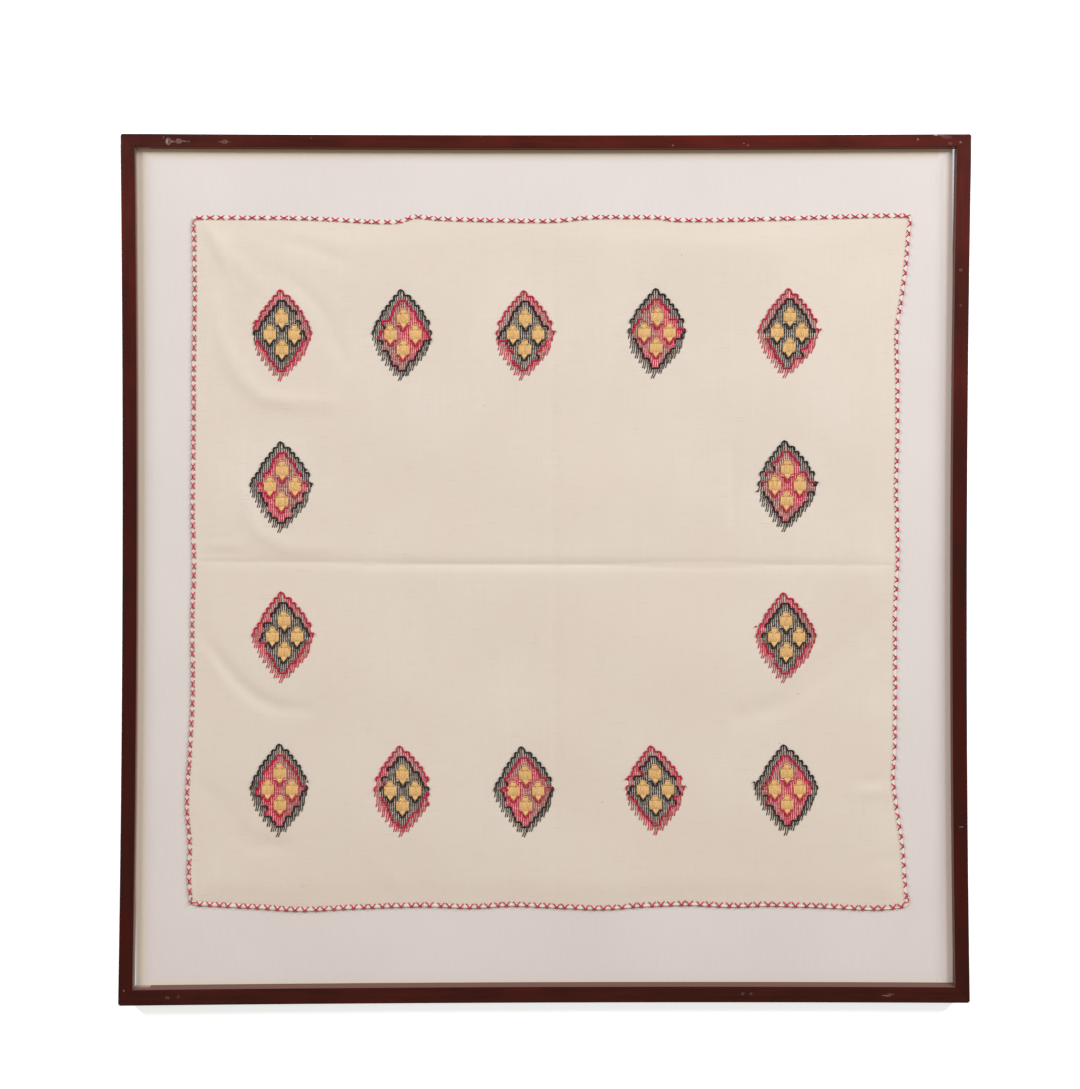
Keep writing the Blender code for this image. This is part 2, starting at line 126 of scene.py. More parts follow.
def tint(tree, share, first, second):
    """One colour laid over another by a share."""
    node = place(tree, "Mix", {"data_type": "RGBA"})
    for socket, value in zip((node.inputs[0], node.inputs[6], node.inputs[7]), (share, first, second)):
        feed(tree, socket, value)
    return node.outputs[2]


def between(tree, value, low, high, to_low=0.0, to_high=1.0):
    """A value spread smoothly from one range to another."""
    node = place(tree, "MapRange", {"interpolation_type": "SMOOTHSTEP"}, Value=value)
    for name, limit in (("From Min", low), ("From Max", high), ("To Min", to_low), ("To Max", to_high)):
        node.inputs[name].default_value = limit
    return node.outputs["Result"]


def stretched(tree, vector, scale):
    """Coordinates stretched by a scale each way."""
    return place(tree, "Mapping", Vector=vector, Scale=scale).outputs["Vector"]


def mottle(tree, vector, scale, detail=2.0, roughness=0.5):
    """Soft uneven patches from 0 to 1."""
    node = place(tree, "TexNoise", Vector=vector, Scale=scale, Detail=detail, Roughness=roughness)
    return node.outputs["Fac"]


def new_group(name, inputs, outputs):
    """An empty shader node group with its named inputs and outputs, each a name and a kind."""
    group = bpy.data.node_groups.new(name, "ShaderNodeTree")
    for socket, kind in inputs:
        group.interface.new_socket(socket, in_out="INPUT", socket_type="NodeSocket" + kind)
    for socket, kind in outputs:
        group.interface.new_socket(socket, in_out="OUTPUT", socket_type="NodeSocket" + kind)
    return group, group.nodes.new("NodeGroupInput").outputs, group.nodes.new("NodeGroupOutput").inputs


def use_group(tree, group, **inputs):
    """Places a node group in a material with its own values."""
    return place(tree, "Group", {"node_tree": group}, **inputs).outputs


def new_finish(name, **values):
    """A material, its node tree and its Principled shader, with the shader's plain values."""
    material = bpy.data.materials.new(name)
    material.use_nodes = True
    shader = material.node_tree.nodes["Principled BSDF"]
    for socket, value in values.items():
        shader.inputs[socket.replace("_", " ")].default_value = value
    return material, material.node_tree, shader


def add_relief(tree, shader, strength, depth, height):
    """Fine relief on a finish, as a bump from a height."""
    bump = place(tree, "Bump", Strength=strength, Distance=depth, Height=height)
    tree.links.new(bump.outputs["Normal"], shader.inputs["Normal"])


def object_places(tree):
    return place(tree, "TexCoord").outputs["Object"]


def axes_of(tree, vector):
    return place(tree, "SeparateXYZ", Vector=vector).outputs


def make_stained_grain():
    """Wood under a red-brown stain. Along runs down the grain on X."""
    group, given, out = new_group(
        "stained_grain",
        (("Along", "Vector"), ("Dark", "Color"), ("Red", "Color")),
        (("Colour", "Color"), ("Height", "Float"), ("Sheen", "Float")),
    )
    streaks = mottle(group, stretched(group, given["Along"], (14.0, 260.0, 260.0)), 1.0, 4.0, 0.6)
    pores = mottle(group, stretched(group, given["Along"], (90.0, 1500.0, 1500.0)), 1.0, 1.0)
    patches = mottle(group, given["Along"], 16.0, 3.0, 0.6)
    dark_streaks = between(group, streaks, 0.3, 0.7, -0.15, 0.6)
    share = maths(group, "ADD", dark_streaks, between(group, patches, 0.3, 0.7, 0.0, 0.5))
    colour = tint(group, share, given["Dark"], given["Red"])
    open_pores = between(group, pores, 0.6, 0.72)
    colour = tint(group, times(group, open_pores, 0.55), colour, given["Dark"])
    group.links.new(colour, out["Colour"])
    group.links.new(maths(group, "SUBTRACT", streaks, open_pores), out["Height"])
    group.links.new(between(group, patches, 0.25, 0.75, 0.3, 0.42), out["Sheen"])
    return group


def make_pale_marks():
    """Pale rings, specks and streaks of old paste, and painted highlights along the top right
    corner's outer edges, at their places, as one mask.
    """
    group, given, out = new_group("pale_marks", (("Place", "Vector"),), (("Mask", "Float"),))
    ripple = place(group, "TexNoise", Vector=given["Place"], Scale=600.0, Detail=3.0).outputs["Color"]
    bent = vector_maths(group, "MULTIPLY_ADD", ripple, (MARK_WANDER, MARK_WANDER, 0.0), given["Place"])
    mask = 0.0
    for x, y, wide, high, cover, hollow in PALE_MARKS_AT:
        middle = x * MM + MARK_WANDER / 2, y * MM + MARK_WANDER / 2, FACE_LEVEL
        off = vector_maths(group, "SUBTRACT", bent, middle)
        scaled = vector_maths(group, "DIVIDE", off, (wide * MM, high * MM, MARK_DEPTH))
        reach = maths(group, "LENGTH", scaled, kind="VectorMath")
        spot = between(group, reach, 0.7, 1.15, cover, 0.0)
        if hollow:
            spot = times(group, spot, between(group, reach, 0.35, 0.8, 1 - hollow * 0.85, 1.0))
        mask = maths(group, "MAXIMUM", spot, mask)
    surface_masks = between(group, mottle(group, given["Place"], 1100.0, 2.0, 0.7), 0.32, 0.62, 0.3, 1.0)
    group.links.new(times(group, mask, surface_masks), out["Mask"])
    return group


def make_light_and_wear_masks():
    """Masks of all that doesn't face up, for the painted shade on the arris, of the top right corner,
    for a painted highlight on its worn arris, of the upright and splayed sides, and of the painted
    light that grows towards the top and the right."""
    group, given, out = new_group(
        "light_and_wear_masks",
        (("Place", "Vector"),),
        (("Arris", "Float"), ("Bare_And_Lit", "Float"), ("Side", "Float"), ("Painted_Light", "Float")),
    )
    facing = axes_of(group, place(group, "NewGeometry").outputs["Normal"])["Z"]
    at = axes_of(group, given["Place"])
    broken = between(group, mottle(group, given["Place"], 150.0, 3.0, 0.7), 0.35, 0.65, 0.25, 1.0)
    turned = between(group, facing, 0.35, 0.97, 1.0, 0.0)
    group.links.new(turned, out["Arris"])
    # Worn wood with a painted highlight on the arris near the top right corner
    corner = between(group, maths(group, "ADD", at["X"], at["Y"]), 0.55, 0.8)
    group.links.new(times(group, corner, broken), out["Bare_And_Lit"])
    group.links.new(between(group, facing, 0.4, 0.7, 1.0, 0.0), out["Side"])
    # Painted light: lighter towards the top and the right, where the lights are strongest, in uneven patches
    upward = between(group, at["Y"], 0.02, 0.44)
    rightward = between(group, at["X"], -0.46, 0.3, 0.5, 1.0)
    clouds = between(group, mottle(group, given["Place"], 9.0, 3.0, 0.6), 0.3, 0.68, 0.35, 1.15)
    spread = times(group, upward, rightward)
    group.links.new(times(group, spread, clouds), out["Painted_Light"])
    return group


STAINED_GRAIN = make_stained_grain()
PALE_MARKS = make_pale_marks()
LIGHT_AND_WEAR_MASKS = make_light_and_wear_masks()
OUTER_REACH = (443.5 * MM, 455.0 * MM)
OUTER_HEIGHTS = (17.0 * MM, 21.0 * MM)
LIP_REACH = (437.7 * MM, 450.0 * MM)
LIP_HEIGHTS = (17.0 * MM, 22.5 * MM)
LEFT_LIP = -420.0 * MM


def beyond(tree, at, reach):
    """Mask of the places farther from the middle than one reach across or the other up."""
    sides = [
        maths(tree, "GREATER_THAN", maths(tree, "ABSOLUTE", at[axis]), limit)
        for axis, limit in zip("XY", reach)
    ]
    return maths(tree, "MAXIMUM", *sides)


def stained_wood(name, turn, stain):
    """The rails' finish, with its grain turned to run along the rail. On the level rails the painted
    light also grows towards the right."""
    material, tree, shader = new_finish(name, Roughness=0.36, Specular_IOR_Level=0.04)
    spot = object_places(tree)
    along = place(tree, "Mapping", Vector=spot, Rotation=(0.0, 0.0, turn)).outputs["Vector"]
    surface_masks = use_group(tree, LIGHT_AND_WEAR_MASKS, Place=spot)
    # Painted light: the stain is painted lighter towards the top and the right
    painted_light = surface_masks["Painted_Light"]
    at = axes_of(tree, spot)
    if turn == 0.0:
        painted_light = times(tree, painted_light, between(tree, at["X"], -0.3, 0.15, 0.5, 1.0))
    red = tint(tree, painted_light, stain, STAIN_LIT)
    grain = use_group(tree, STAINED_GRAIN, Along=along, Dark=STAIN_DARK, Red=red)
    pale = use_group(tree, PALE_MARKS, Place=spot)["Mask"]
    colour = tint(tree, times(tree, painted_light, 0.55), grain["Colour"], STAIN_LIT)
    # Painted shade: the outer arris, turned away from the lights, is painted dark. Near the top right corner
    # it is painted pale instead, a highlight on worn wood.
    upper = between(tree, at["Z"], *OUTER_HEIGHTS, 0.0, 0.85)
    edge = times(tree, surface_masks["Arris"], times(tree, beyond(tree, at, OUTER_REACH), upper))
    colour = tint(tree, edge, colour, tint(tree, surface_masks["Bare_And_Lit"], ARRIS_SHADE, STAIN_BARE_LIT))
    # The lip's inner sides are bare wood, and are also painted lighter for the light bounced up from the
    # pale board.
    inside = maths(tree, "SUBTRACT", 1.0, beyond(tree, at, LIP_REACH))
    lip = times(tree, surface_masks["Side"], inside)
    colour = tint(tree, times(tree, lip, 0.85), colour, LIP_BARE_AND_BOUNCE)
    # Painted highlight: the left lip's side, which faces the stronger right light, is painted paler towards
    # its foot.
    foot = times(tree, lip, between(tree, at["Z"], *LIP_HEIGHTS, 0.7, 0.0))
    on_left = maths(tree, "LESS_THAN", at["X"], LEFT_LIP)
    colour = tint(tree, times(tree, foot, on_left), colour, LIP_FOOT_HIGHLIGHT)
    colour = tint(tree, pale, colour, PASTE_AND_HIGHLIGHT_PALE)
    add_relief(tree, shader, 0.35, 0.15 * MM, grain["Height"])
    tree.links.new(colour, shader.inputs["Base Color"])
    roughness = maths(tree, "ADD", grain["Sheen"], times(tree, pale, 0.3))
    tree.links.new(roughness, shader.inputs["Roughness"])
    return material


def wear(node_name, material):
    """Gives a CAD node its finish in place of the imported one."""
    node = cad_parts[node_name]
    node.data.materials.clear()
    node.data.materials.append(material)


level_wood = stained_wood("stained_wood_level", 0.0, STAIN_RED)
upright_wood = stained_wood("stained_wood_upright", math.pi / 2, STAIN_WARM)
for rail_name in ("rail_top", "rail_bottom"):
    wear(rail_name, level_wood)
for rail_name in ("rail_left", "rail_right"):
    wear(rail_name, upright_wood)


# Mitre filler: wood filler pressed into the four mitres after the rails were pinned, scraped off
# level with the face and stained with the rails.
FILLER_HALF_WIDTH = 0.147 * MM
FACE_DEPTH = 13.8

# The filler's outline along the mitre and up, and each mitre's outer and inner end, in millimetres
FILLER_PROFILE = (
    (1.0, 0.5), (1.0, 23.6), (1.4, 24.5), (2.4, 24.96), (13.2, 24.96), (13.6, 24.4), (13.6, 17.2),
    (8.6, 17.2), (8.6, 0.5),
)
MITRES = (
    ((-450.5, 462.1), (-435.2, 448.3)), ((452.9, 461.7), (437.3, 447.9)),
    ((451.0, -460.4), (435.4, -443.35)), ((-453.0, -463.5), (-437.6, -446.4)),
)


def add_piece(name, vertices, faces, material, slot, values=None):
    """A smooth mesh from its points and faces that rides on the frame's one body."""
    mesh = bpy.data.meshes.new(name)
    mesh.from_pydata(vertices.tolist(), [], faces)
    mesh.shade_smooth()
    mesh.materials.append(material)
    for value_name, numbers in (values or {}).items():
        mesh.attributes.new(value_name, "FLOAT", "POINT").data.foreach_set("value", numbers)
    piece = bpy.data.objects.new(name, mesh)
    bpy.context.scene.collection.objects.link(piece)
    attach(piece, "root")
    return piece


def make_mitre_filler():
    vertices, faces = [], []
    for outer, inner in MITRES:
        outer, inner = np.array(outer), np.array(inner)
        way = (inner - outer) / FACE_DEPTH
        across = np.array((-way[1], way[0])) / np.linalg.norm(way) * FILLER_HALF_WIDTH
        first, count = len(vertices), len(FILLER_PROFILE)
        for side in (-1, 1):
            for depth, height in FILLER_PROFILE:
                vertices.append((*((outer + way * depth) * MM + across * side), height * MM))
        faces.append(tuple(range(first, first + count)))
        faces.append(tuple(range(first + 2 * count - 1, first + count - 1, -1)))
        for i in range(count):
            after = (i + 1) % count
            faces.append((first + i, first + count + i, first + count + after, first + after))
    return np.array(vertices), faces


filler = add_piece("mitre_filler", *make_mitre_filler(), level_wood, "frame_wood")
filler.data.shade_flat()


# Mount board: a light board covered in pale, faintly pink paper with a soft tooth, cut to drop
# into the rabbets behind the rails' lip. The cloth lies loose on it. Its rim along the lip is
# painted warm, partly yellowed paper and partly the warm shade under the lip, and along the right
# lip it is painted paler, as light in that lip's shadow.
BOARD_PALE = (0.62, 0.562, 0.535, 1.0)
BOARD_SHADE = (0.585, 0.53, 0.504, 1.0)
BOARD_RIM_AGED_SHADE = (0.64, 0.565, 0.475, 1.0)
BOARD_RIM_LIT = (0.69, 0.615, 0.58, 1.0)
RIM_ACROSS = (423.5 * MM, 426.8 * MM)
RIM_UP = (433.0 * MM, 443.0 * MM)
LIT_RIM_FROM = 420.0 * MM


def covered_board():
    material, tree, shader = new_finish("mount_board_paper", Roughness=0.86, Specular_IOR_Level=0.25)
    spot = object_places(tree)
    clouds = mottle(tree, spot, 5.0, 3.0, 0.55)
    laid_down = mottle(tree, stretched(tree, spot, (900.0, 35.0, 900.0)), 1.0, 2.0)
    tooth = mottle(tree, spot, 1500.0, 2.0, 0.6)
    uneven = between(tree, clouds, 0.3, 0.7, 0.0, 0.7)
    share = maths(tree, "ADD", uneven, between(tree, laid_down, 0.35, 0.65, -0.1, 0.3))
    at = axes_of(tree, spot)
    # The rim under the lips: warm painted shade on partly yellowed paper, and paler painted light along the
    # right lip
    near_x = between(tree, maths(tree, "ABSOLUTE", at["X"]), *RIM_ACROSS)
    near_y = between(tree, maths(tree, "ABSOLUTE", at["Y"]), *RIM_UP)
    rim = maths(tree, "MAXIMUM", near_x, near_y)
    rim_colour = tint(tree, maths(tree, "GREATER_THAN", at["X"], LIT_RIM_FROM), BOARD_RIM_AGED_SHADE, BOARD_RIM_LIT)
    colour = tint(tree, rim, tint(tree, share, BOARD_PALE, BOARD_SHADE), rim_colour)
    tree.links.new(colour, shader.inputs["Base Color"])
    add_relief(tree, shader, 0.25, 0.12 * MM, maths(tree, "ADD", tooth, laid_down))
    return material


wear("mount_board", covered_board())


# Cloth: one square of handwoven cotton, narrow loom width, cream with grey slubs and seed flecks.
# Its four edges are rolled to the face as a narrow hem. It was kept folded in four, so it has old
# creases across and down, and soft folds fan out from its left edge and corners.
CLOTH_BOTTOM = 17.0 * MM
MESH_SPACING = 4.4 * MM

# The mesh's width and height, the places of its left, right, bottom and top edges, and the old
# creases with close mesh lines, as their place, reach and spacing in millimetres
MESH_SIZE = (769.0 * MM, 737.0 * MM)
MESH_ACROSS = (-378.0 * MM, 385.0 * MM)
MESH_UP = (-361.0 * MM, 375.0 * MM)
CREASES_DOWN = ((9.5, 8, 2.0), (200, 5, 1.7))
CREASES_ACROSS = ((5, 9, 1.3),)
HEM_WIDTH = 4.6 * MM

# The hem's round as distance in from the edge and height over the underside, in millimetres
HEM_ROUND = (
    (0.0, 0.7), (0.3, 0.95), (0.9, 1.14), (1.7, 1.2), (2.6, 1.18), (3.3, 1.1), (3.9, 0.92), (4.3, 0.72),
    (4.6, 0.68), (5.1, 0.7), (6.2, 0.75),
)
HEM_UNDER = ((0.0, 0.7), (0.3, 0.3), (0.9, 0.06), (1.7, 0.0))

# The cloth's edge, in millimetres from the frame's middle, clockwise from the top left corner
TOP_EDGE = (
    (-375.3, 372.3), (-368, 376), (-320, 376.2), (-253, 375.4), (-185, 372), (-156, 372),
    (-138, 377.2), (-106, 374.8), (0, 372.7), (52, 376.5), (116, 376.5), (142, 373.7), (200, 374),
    (265, 375.6), (350, 378.3), (386.6, 377.8),
)
RIGHT_EDGE = (
    (390.4, 374.5), (388.1, 350), (385.8, 322), (381.3, 288), (376.2, 252), (377, 195),
    (376.8, 128), (375.4, 84), (376.6, 57), (377.1, 9), (374.6, -45), (374.6, -120), (374.4, -166),
    (374, -198), (372.4, -224), (377.3, -263), (382, -294), (385.7, -343), (387.6, -354.5),
)
BOTTOM_EDGE = (
    (382.6, -360.4), (350, -363.6), (296, -361.2), (240, -359.5), (197, -360.6), (154, -358.7),
    (105, -360.2), (56, -363.2), (-30, -359.6), (-64, -361.3), (-86, -361.6), (-135, -360.2),
    (-204, -362.5), (-260, -365), (-307, -362.2), (-352, -359.7), (-374.5, -357.9),
)
LEFT_EDGE = (
    (-379.2, -350), (-381.2, -325), (-380.2, -292), (-383.2, -250), (-380.1, -195), (-377, -129),
    (-377.6, -60), (-375.7, 5), (-377.1, 62), (-376.1, 150), (-376.1, 210), (-374.9, 290),
    (-375.6, 350),
)

# How the loose cloth stands off its board inside its settled border, in millimetres: soft swells,
# then the main folds, then creases too fine for the solid. A fold has its width, its rise and the
# line it runs along, and a negative rise is a groove.
SWELL_BASE = 1.3
SETTLED_BORDER = 32 * MM
CREASED_BORDER = 9 * MM
SWELLS = (
    {"rise": 0.45, "length": 310, "heading": 35, "shift": 40},
    {"rise": 0.35, "length": 190, "heading": 118, "shift": 15},
    {"rise": 0.25, "length": 135, "heading": 72, "shift": 70},
)
FOLD_END_SHARE = 0.08
MAIN_FOLDS = (
    (9, -1.0, ((-366, 8), (-230, 7), (-150, 5), (366, 4))),
    (8, -0.45, ((9, 366), (12, -350))),
    (13, 1.3, ((-357, 366), (-334, 330), (-308, 303))),
    (10, -0.9, ((-296, 354), (-249, 342), (-212, 328))),
    (13, 1.7, ((-354, 282), (-344, 243), (-326, 207), (-302, 183), (-269, 178), (-229, 178))),
    (10, -1.1, ((-282, 313), (-255, 296), (-235, 270), (-224, 246), (-212, 220))),
    (12, 1.1, ((-327, 127), (-323, 87), (-315, 57), (-302, 36), (-276, 24), (-235, 23))),
    (7, 0.7, ((-366, 27), (-318, 26))),
    (10, -1.6, ((-368, -70), (-348, -95), (-327, -121), (-305, -139), (-285, -148), (-255, -150))),
    (11, -1.5, ((-366, -230), (-347, -254), (-332, -277), (-312, -293), (-280, -296))),
    (8, -0.6, ((200, 129), (200, 50))),
    (15, -1.5, ((358, -44), (340, -77), (306, -98), (279, -123), (252, -146), (207, -157))),
    (8, -0.6, ((336, -227), (366, -227))),
)
FINE_CREASES = (
    (3.0, -0.45, ((-371, 8), (-230, 7), (-150, 5.2), (20, 4.6), (160, 4.8), (371, 4.2))),
    (3.5, -0.16, ((8, 371), (6.5, 180), (7, 5), (10, -160), (12, -355))),
    (6.5, 1.1, ((-362, 372), (-349, 344), (-336, 314), (-328, 296))),
    (4.0, -0.35, ((-369, 32), (-330, 30))),
    (4.5, -0.3, ((-369, 18), (-318, 16))),
    (3.2, -0.6, ((199.7, 127), (200.4, 90), (199.8, 50))),
    (3.0, -0.3, ((166, 89.4), (190, 89.4))),
    (4.0, -0.16, ((-186, 47), (-187, -22))),
    (9.0, 0.35, ((46, 193), (45, 138))),
    (12.0, 0.4, ((-186, -303), (-153, -343))),
    (9.0, -0.35, ((348, -311), (373, -307))),
    (6.0, 0.6, ((-370, -80), (-352, -103), (-330, -130))),
    (9.0, -0.3, ((-246, 118), (-236, 92))),
    (9.0, -0.3, ((-244, -38), (-235, -62))),
    (10.0, 0.8, ((330, -238), (368, -236))),
)


def closed_curve(points, spacing):
    """Points on a smooth closed curve through the given ones, and the index of each given one."""
    curve, given_at = [], []
    count = len(points)
    for i in range(count):
        before, start, end, after = (points[(i + k) % count] for k in (-1, 0, 1, 2))
        given_at.append(len(curve))
        steps = max(1, round(float(np.linalg.norm(end - start)) / spacing))
        for step in range(steps):
            t = step / steps
            pull = (end - before) * t * 0.5
            bend = (before * 2 - start * 5 + end * 4 - after) * t * t * 0.5
            twist = (start * 3 - before - end * 3 + after) * t * t * t * 0.5
            curve.append(start + pull + bend + twist)
    return np.array(curve), given_at


EDGE_POINTS = np.array(TOP_EDGE + RIGHT_EDGE + BOTTOM_EDGE + LEFT_EDGE) * MM
OUTLINE, GIVEN_AT = closed_curve(EDGE_POINTS, MESH_SPACING)


def side_of_cloth(first, last):
    """One side of the outline, from a given point to a later one, with its share of the way."""
    start = GIVEN_AT[first]
    end = GIVEN_AT[last] if last < len(GIVEN_AT) else len(OUTLINE)
    line = np.vstack([OUTLINE[start:end], OUTLINE[end % len(OUTLINE)]])
    run = np.concatenate([[0.0], np.cumsum(np.linalg.norm(np.diff(line, axis=0), axis=1))])
    return line, run


corner_counts = np.cumsum([0, len(TOP_EDGE), len(RIGHT_EDGE), len(BOTTOM_EDGE), len(LEFT_EDGE)])
SIDES = {
    name: side_of_cloth(corner_counts[i], corner_counts[i + 1])
    for i, name in enumerate(("top", "right", "bottom", "left"))
}


def along_side(side, share):
    """The point at a share of a side's length, clockwise."""
    line, run = SIDES[side]
    at = np.asarray(share) * run[-1]
    return np.stack([np.interp(at, run, line[:, 0]), np.interp(at, run, line[:, 1])], axis=-1)


def off_line(places, line):
    """How far each place lies off a line of points, and its share of the way along."""
    line = np.array(line, float) * MM
    lengths = np.linalg.norm(np.diff(line, axis=0), axis=1)
    best = np.full(len(places), np.inf)
    share = np.zeros(len(places))
    for i, length in enumerate(lengths):
        way = line[i + 1] - line[i]
        along = np.clip((places - line[i]) @ way / length**2, 0.0, 1.0)
        away = np.linalg.norm(places - line[i] - along[:, None] * way, axis=1)
        nearer = away < best
        best = np.where(nearer, away, best)
        share = np.where(nearer, (lengths[:i].sum() + along * length) / lengths.sum(), share)
    return best, share


def edge_distance(places):
    """How far each place lies from the cloth's edge."""
    best = np.full(len(places), np.inf)
    for start, end in zip(OUTLINE[::3], np.roll(OUTLINE[::3], -1, axis=0)):
        way = end - start
        along = np.clip((places - start) @ way / (way @ way), 0.0, 1.0)
        best = np.minimum(best, np.linalg.norm(places - start - along[:, None] * way, axis=1))
    return best


def smooth_step(share):
    share = np.clip(share, 0.0, 1.0)
    return share * share * (3 - 2 * share)


def fold_height(places, folds):
    """The height of the folds at each place, less towards their ends."""
    height = np.zeros(len(places))
    for width, rise, line in folds:
        away, share = off_line(places, line)
        off = away / (width * MM)
        fade = np.sqrt(np.sin(np.pi * np.clip(share, FOLD_END_SHARE, 1 - FOLD_END_SHARE)))
        height += rise * fade * np.exp(-2 * off * off)
    return height


# Lozenges in millimetres: the middle of the stars, the reach to the left and right corners, the
# height, how far the top and the foot drift sideways, and the threads of the border and the field
LOZENGES = tuple(
    dict(zip(("at", "reach", "height", "drift", "threads"), values))
    for values in (
        ((-279.8, 249.2), (31.5, 32.4), 95.9, (-0.7, -1.2), ("red", "black")),
        ((-150.7, 249.2), (33.9, 31.1), 95.9, (-1.4, -2.0), ("black", "red")),
        ((-20.4, 249.1), (32.2, 31.0), 94.2, (-0.9, -3.8), ("red", "black")),
        ((119.4, 251.3), (31.5, 31.4), 94.2, (-0.2, -2.9), ("black", "red")),
        ((260.6, 251.3), (34.3, 32.0), 94.2, (-0.3, -4.1), ("red", "black")),
        ((-279.4, 87.4), (35.1, 32.0), 96.0, (-0.8, -1.9), ("black", "red")),
        ((258.4, 88.5), (32.1, 32.0), 96.0, (-2.2, -2.8), ("black", "red")),
        ((-276.8, -72.4), (35.4, 31.2), 95.9, (-2.9, -2.9), ("red", "black")),
        ((257.2, -72.9), (33.0, 32.6), 95.2, (-2.2, -2.2), ("red", "black")),
        ((-282.1, -235.3), (32.4, 30.5), 97.9, (0.5, -0.6), ("black", "red")),
        ((-150.9, -236.3), (31.6, 28.6), 95.9, (-2.7, -1.2), ("red", "black")),
        ((-20.0, -236.8), (34.7, 30.3), 95.2, (-4.0, -0.8), ("black", "red")),
        ((117.7, -235.3), (31.9, 31.4), 94.2, (-3.8, 1.5), ("red", "black")),
        ((258.0, -234.8), (35.4, 33.3), 95.2, (-2.7, -0.1), ("black", "red")),
    )
)

# In millimetres: how high and how far out the cloth puckers, and a lozenge's middle to its sides
PUCKER_RISE = 0.22
PUCKER_REACH = 9.0
MIDDLE_TO_SIDE = 27


def pucker_height(places):
    """Small ripples where each lozenge draws the cloth in, strongest off its lower left side."""
    height = np.zeros(len(places))
    for index, lozenge in enumerate(LOZENGES):
        off = (places / MM - np.array(lozenge["at"])) / (sum(lozenge["reach"]) / 2, lozenge["height"] / 2)
        outside = (np.abs(off).sum(axis=1) - 1) * MIDDLE_TO_SIDE
        turn = np.arctan2(off[:, 1], off[:, 0])
        fade = np.exp(-((np.maximum(outside, 0.0) / PUCKER_REACH) ** 2)) * (outside < 40)
        ripple = np.sin(turn * 23 + index * 1.7) + 0.6 * np.sin(turn * 37 + index * 2.9)
        height += PUCKER_RISE * 0.5 * fade * ripple
        lower_left = smooth_step(-off[:, 0] * 1.6 - 0.1) * smooth_step(0.45 - off[:, 1])
        height -= PUCKER_RISE * 1.5 * lower_left * np.exp(-(((outside - 3.2) / 1.5) ** 2))
    return height


def lift(places, border):
    """How far the cloth's underside stands off its lowest plane, given the distance to its edge."""
    height = SWELL_BASE + fold_height(places, MAIN_FOLDS)
    for swell in SWELLS:
        angle = math.radians(swell["heading"])
        travel = places @ (math.cos(angle), math.sin(angle)) / MM + swell["shift"]
        height += swell["rise"] * np.sin(math.tau * travel / swell["length"])
    fine = fold_height(places, FINE_CREASES) + pucker_height(places)
    settled = smooth_step(border / SETTLED_BORDER)
    loose = np.maximum(height, 0.0) * settled
    return (loose + np.maximum(fine, -0.3 - settled) * smooth_step(border / CREASED_BORDER)) * MM


def face_height(places):
    """The height of the cloth's face at each place."""
    border = edge_distance(places)
    hem = np.array(HEM_ROUND) * MM
    rise = np.interp(border, hem[:, 0], hem[:, 1])
    return CLOTH_BOTTOM + np.maximum(lift(places, border), 0.0) + rise


def mesh_lines(length, near, far, creases):
    """Shares along the cloth for its mesh lines, close together in the hem and at old creases."""
    hem = [inset for inset, _ in HEM_ROUND]
    lines = [inset * MM / length for inset in hem] + [1 - inset * MM / length for inset in hem]
    last = hem[-1] * MM / length
    count = round((1 - 2 * last) * length / MESH_SPACING)
    plain = [last + (1 - 2 * last) * step / count for step in range(1, count)]
    for middle, reach, gap in creases:
        share = (middle * MM - near) / (far - near)
        wide = (reach + 2) * MM / length
        plain = [line for line in plain if abs(line - share) > wide]
        steps = round(2 * reach / gap)
        plain += [share + (step / steps * 2 - 1) * reach * MM / length for step in range(steps + 1)]
    return np.array(sorted(lines + plain))


def patch(across, up):
    """Points of a smooth grid that fills the cloth's outline."""
    low, high = along_side("bottom", 1 - across), along_side("top", across)
    left, right = along_side("left", up), along_side("right", 1 - up)
    u, v = across[None, :, None], up[:, None, None]
    edges = (1 - v) * low[None] + v * high[None] + (1 - u) * left[:, None] + u * right[:, None]
    corners = (1 - u) * ((1 - v) * low[0] + v * high[0]) + u * ((1 - v) * low[-1] + v * high[-1])
    return edges - corners


def grid_faces(rows, columns, start, flip):
    faces = []
    for row in range(rows - 1):
        for column in range(columns - 1):
            corner = start + row * columns + column
            face = (corner, corner + 1, corner + columns + 1, corner + columns)
            faces.append(face[::-1] if flip else face)
    return faces


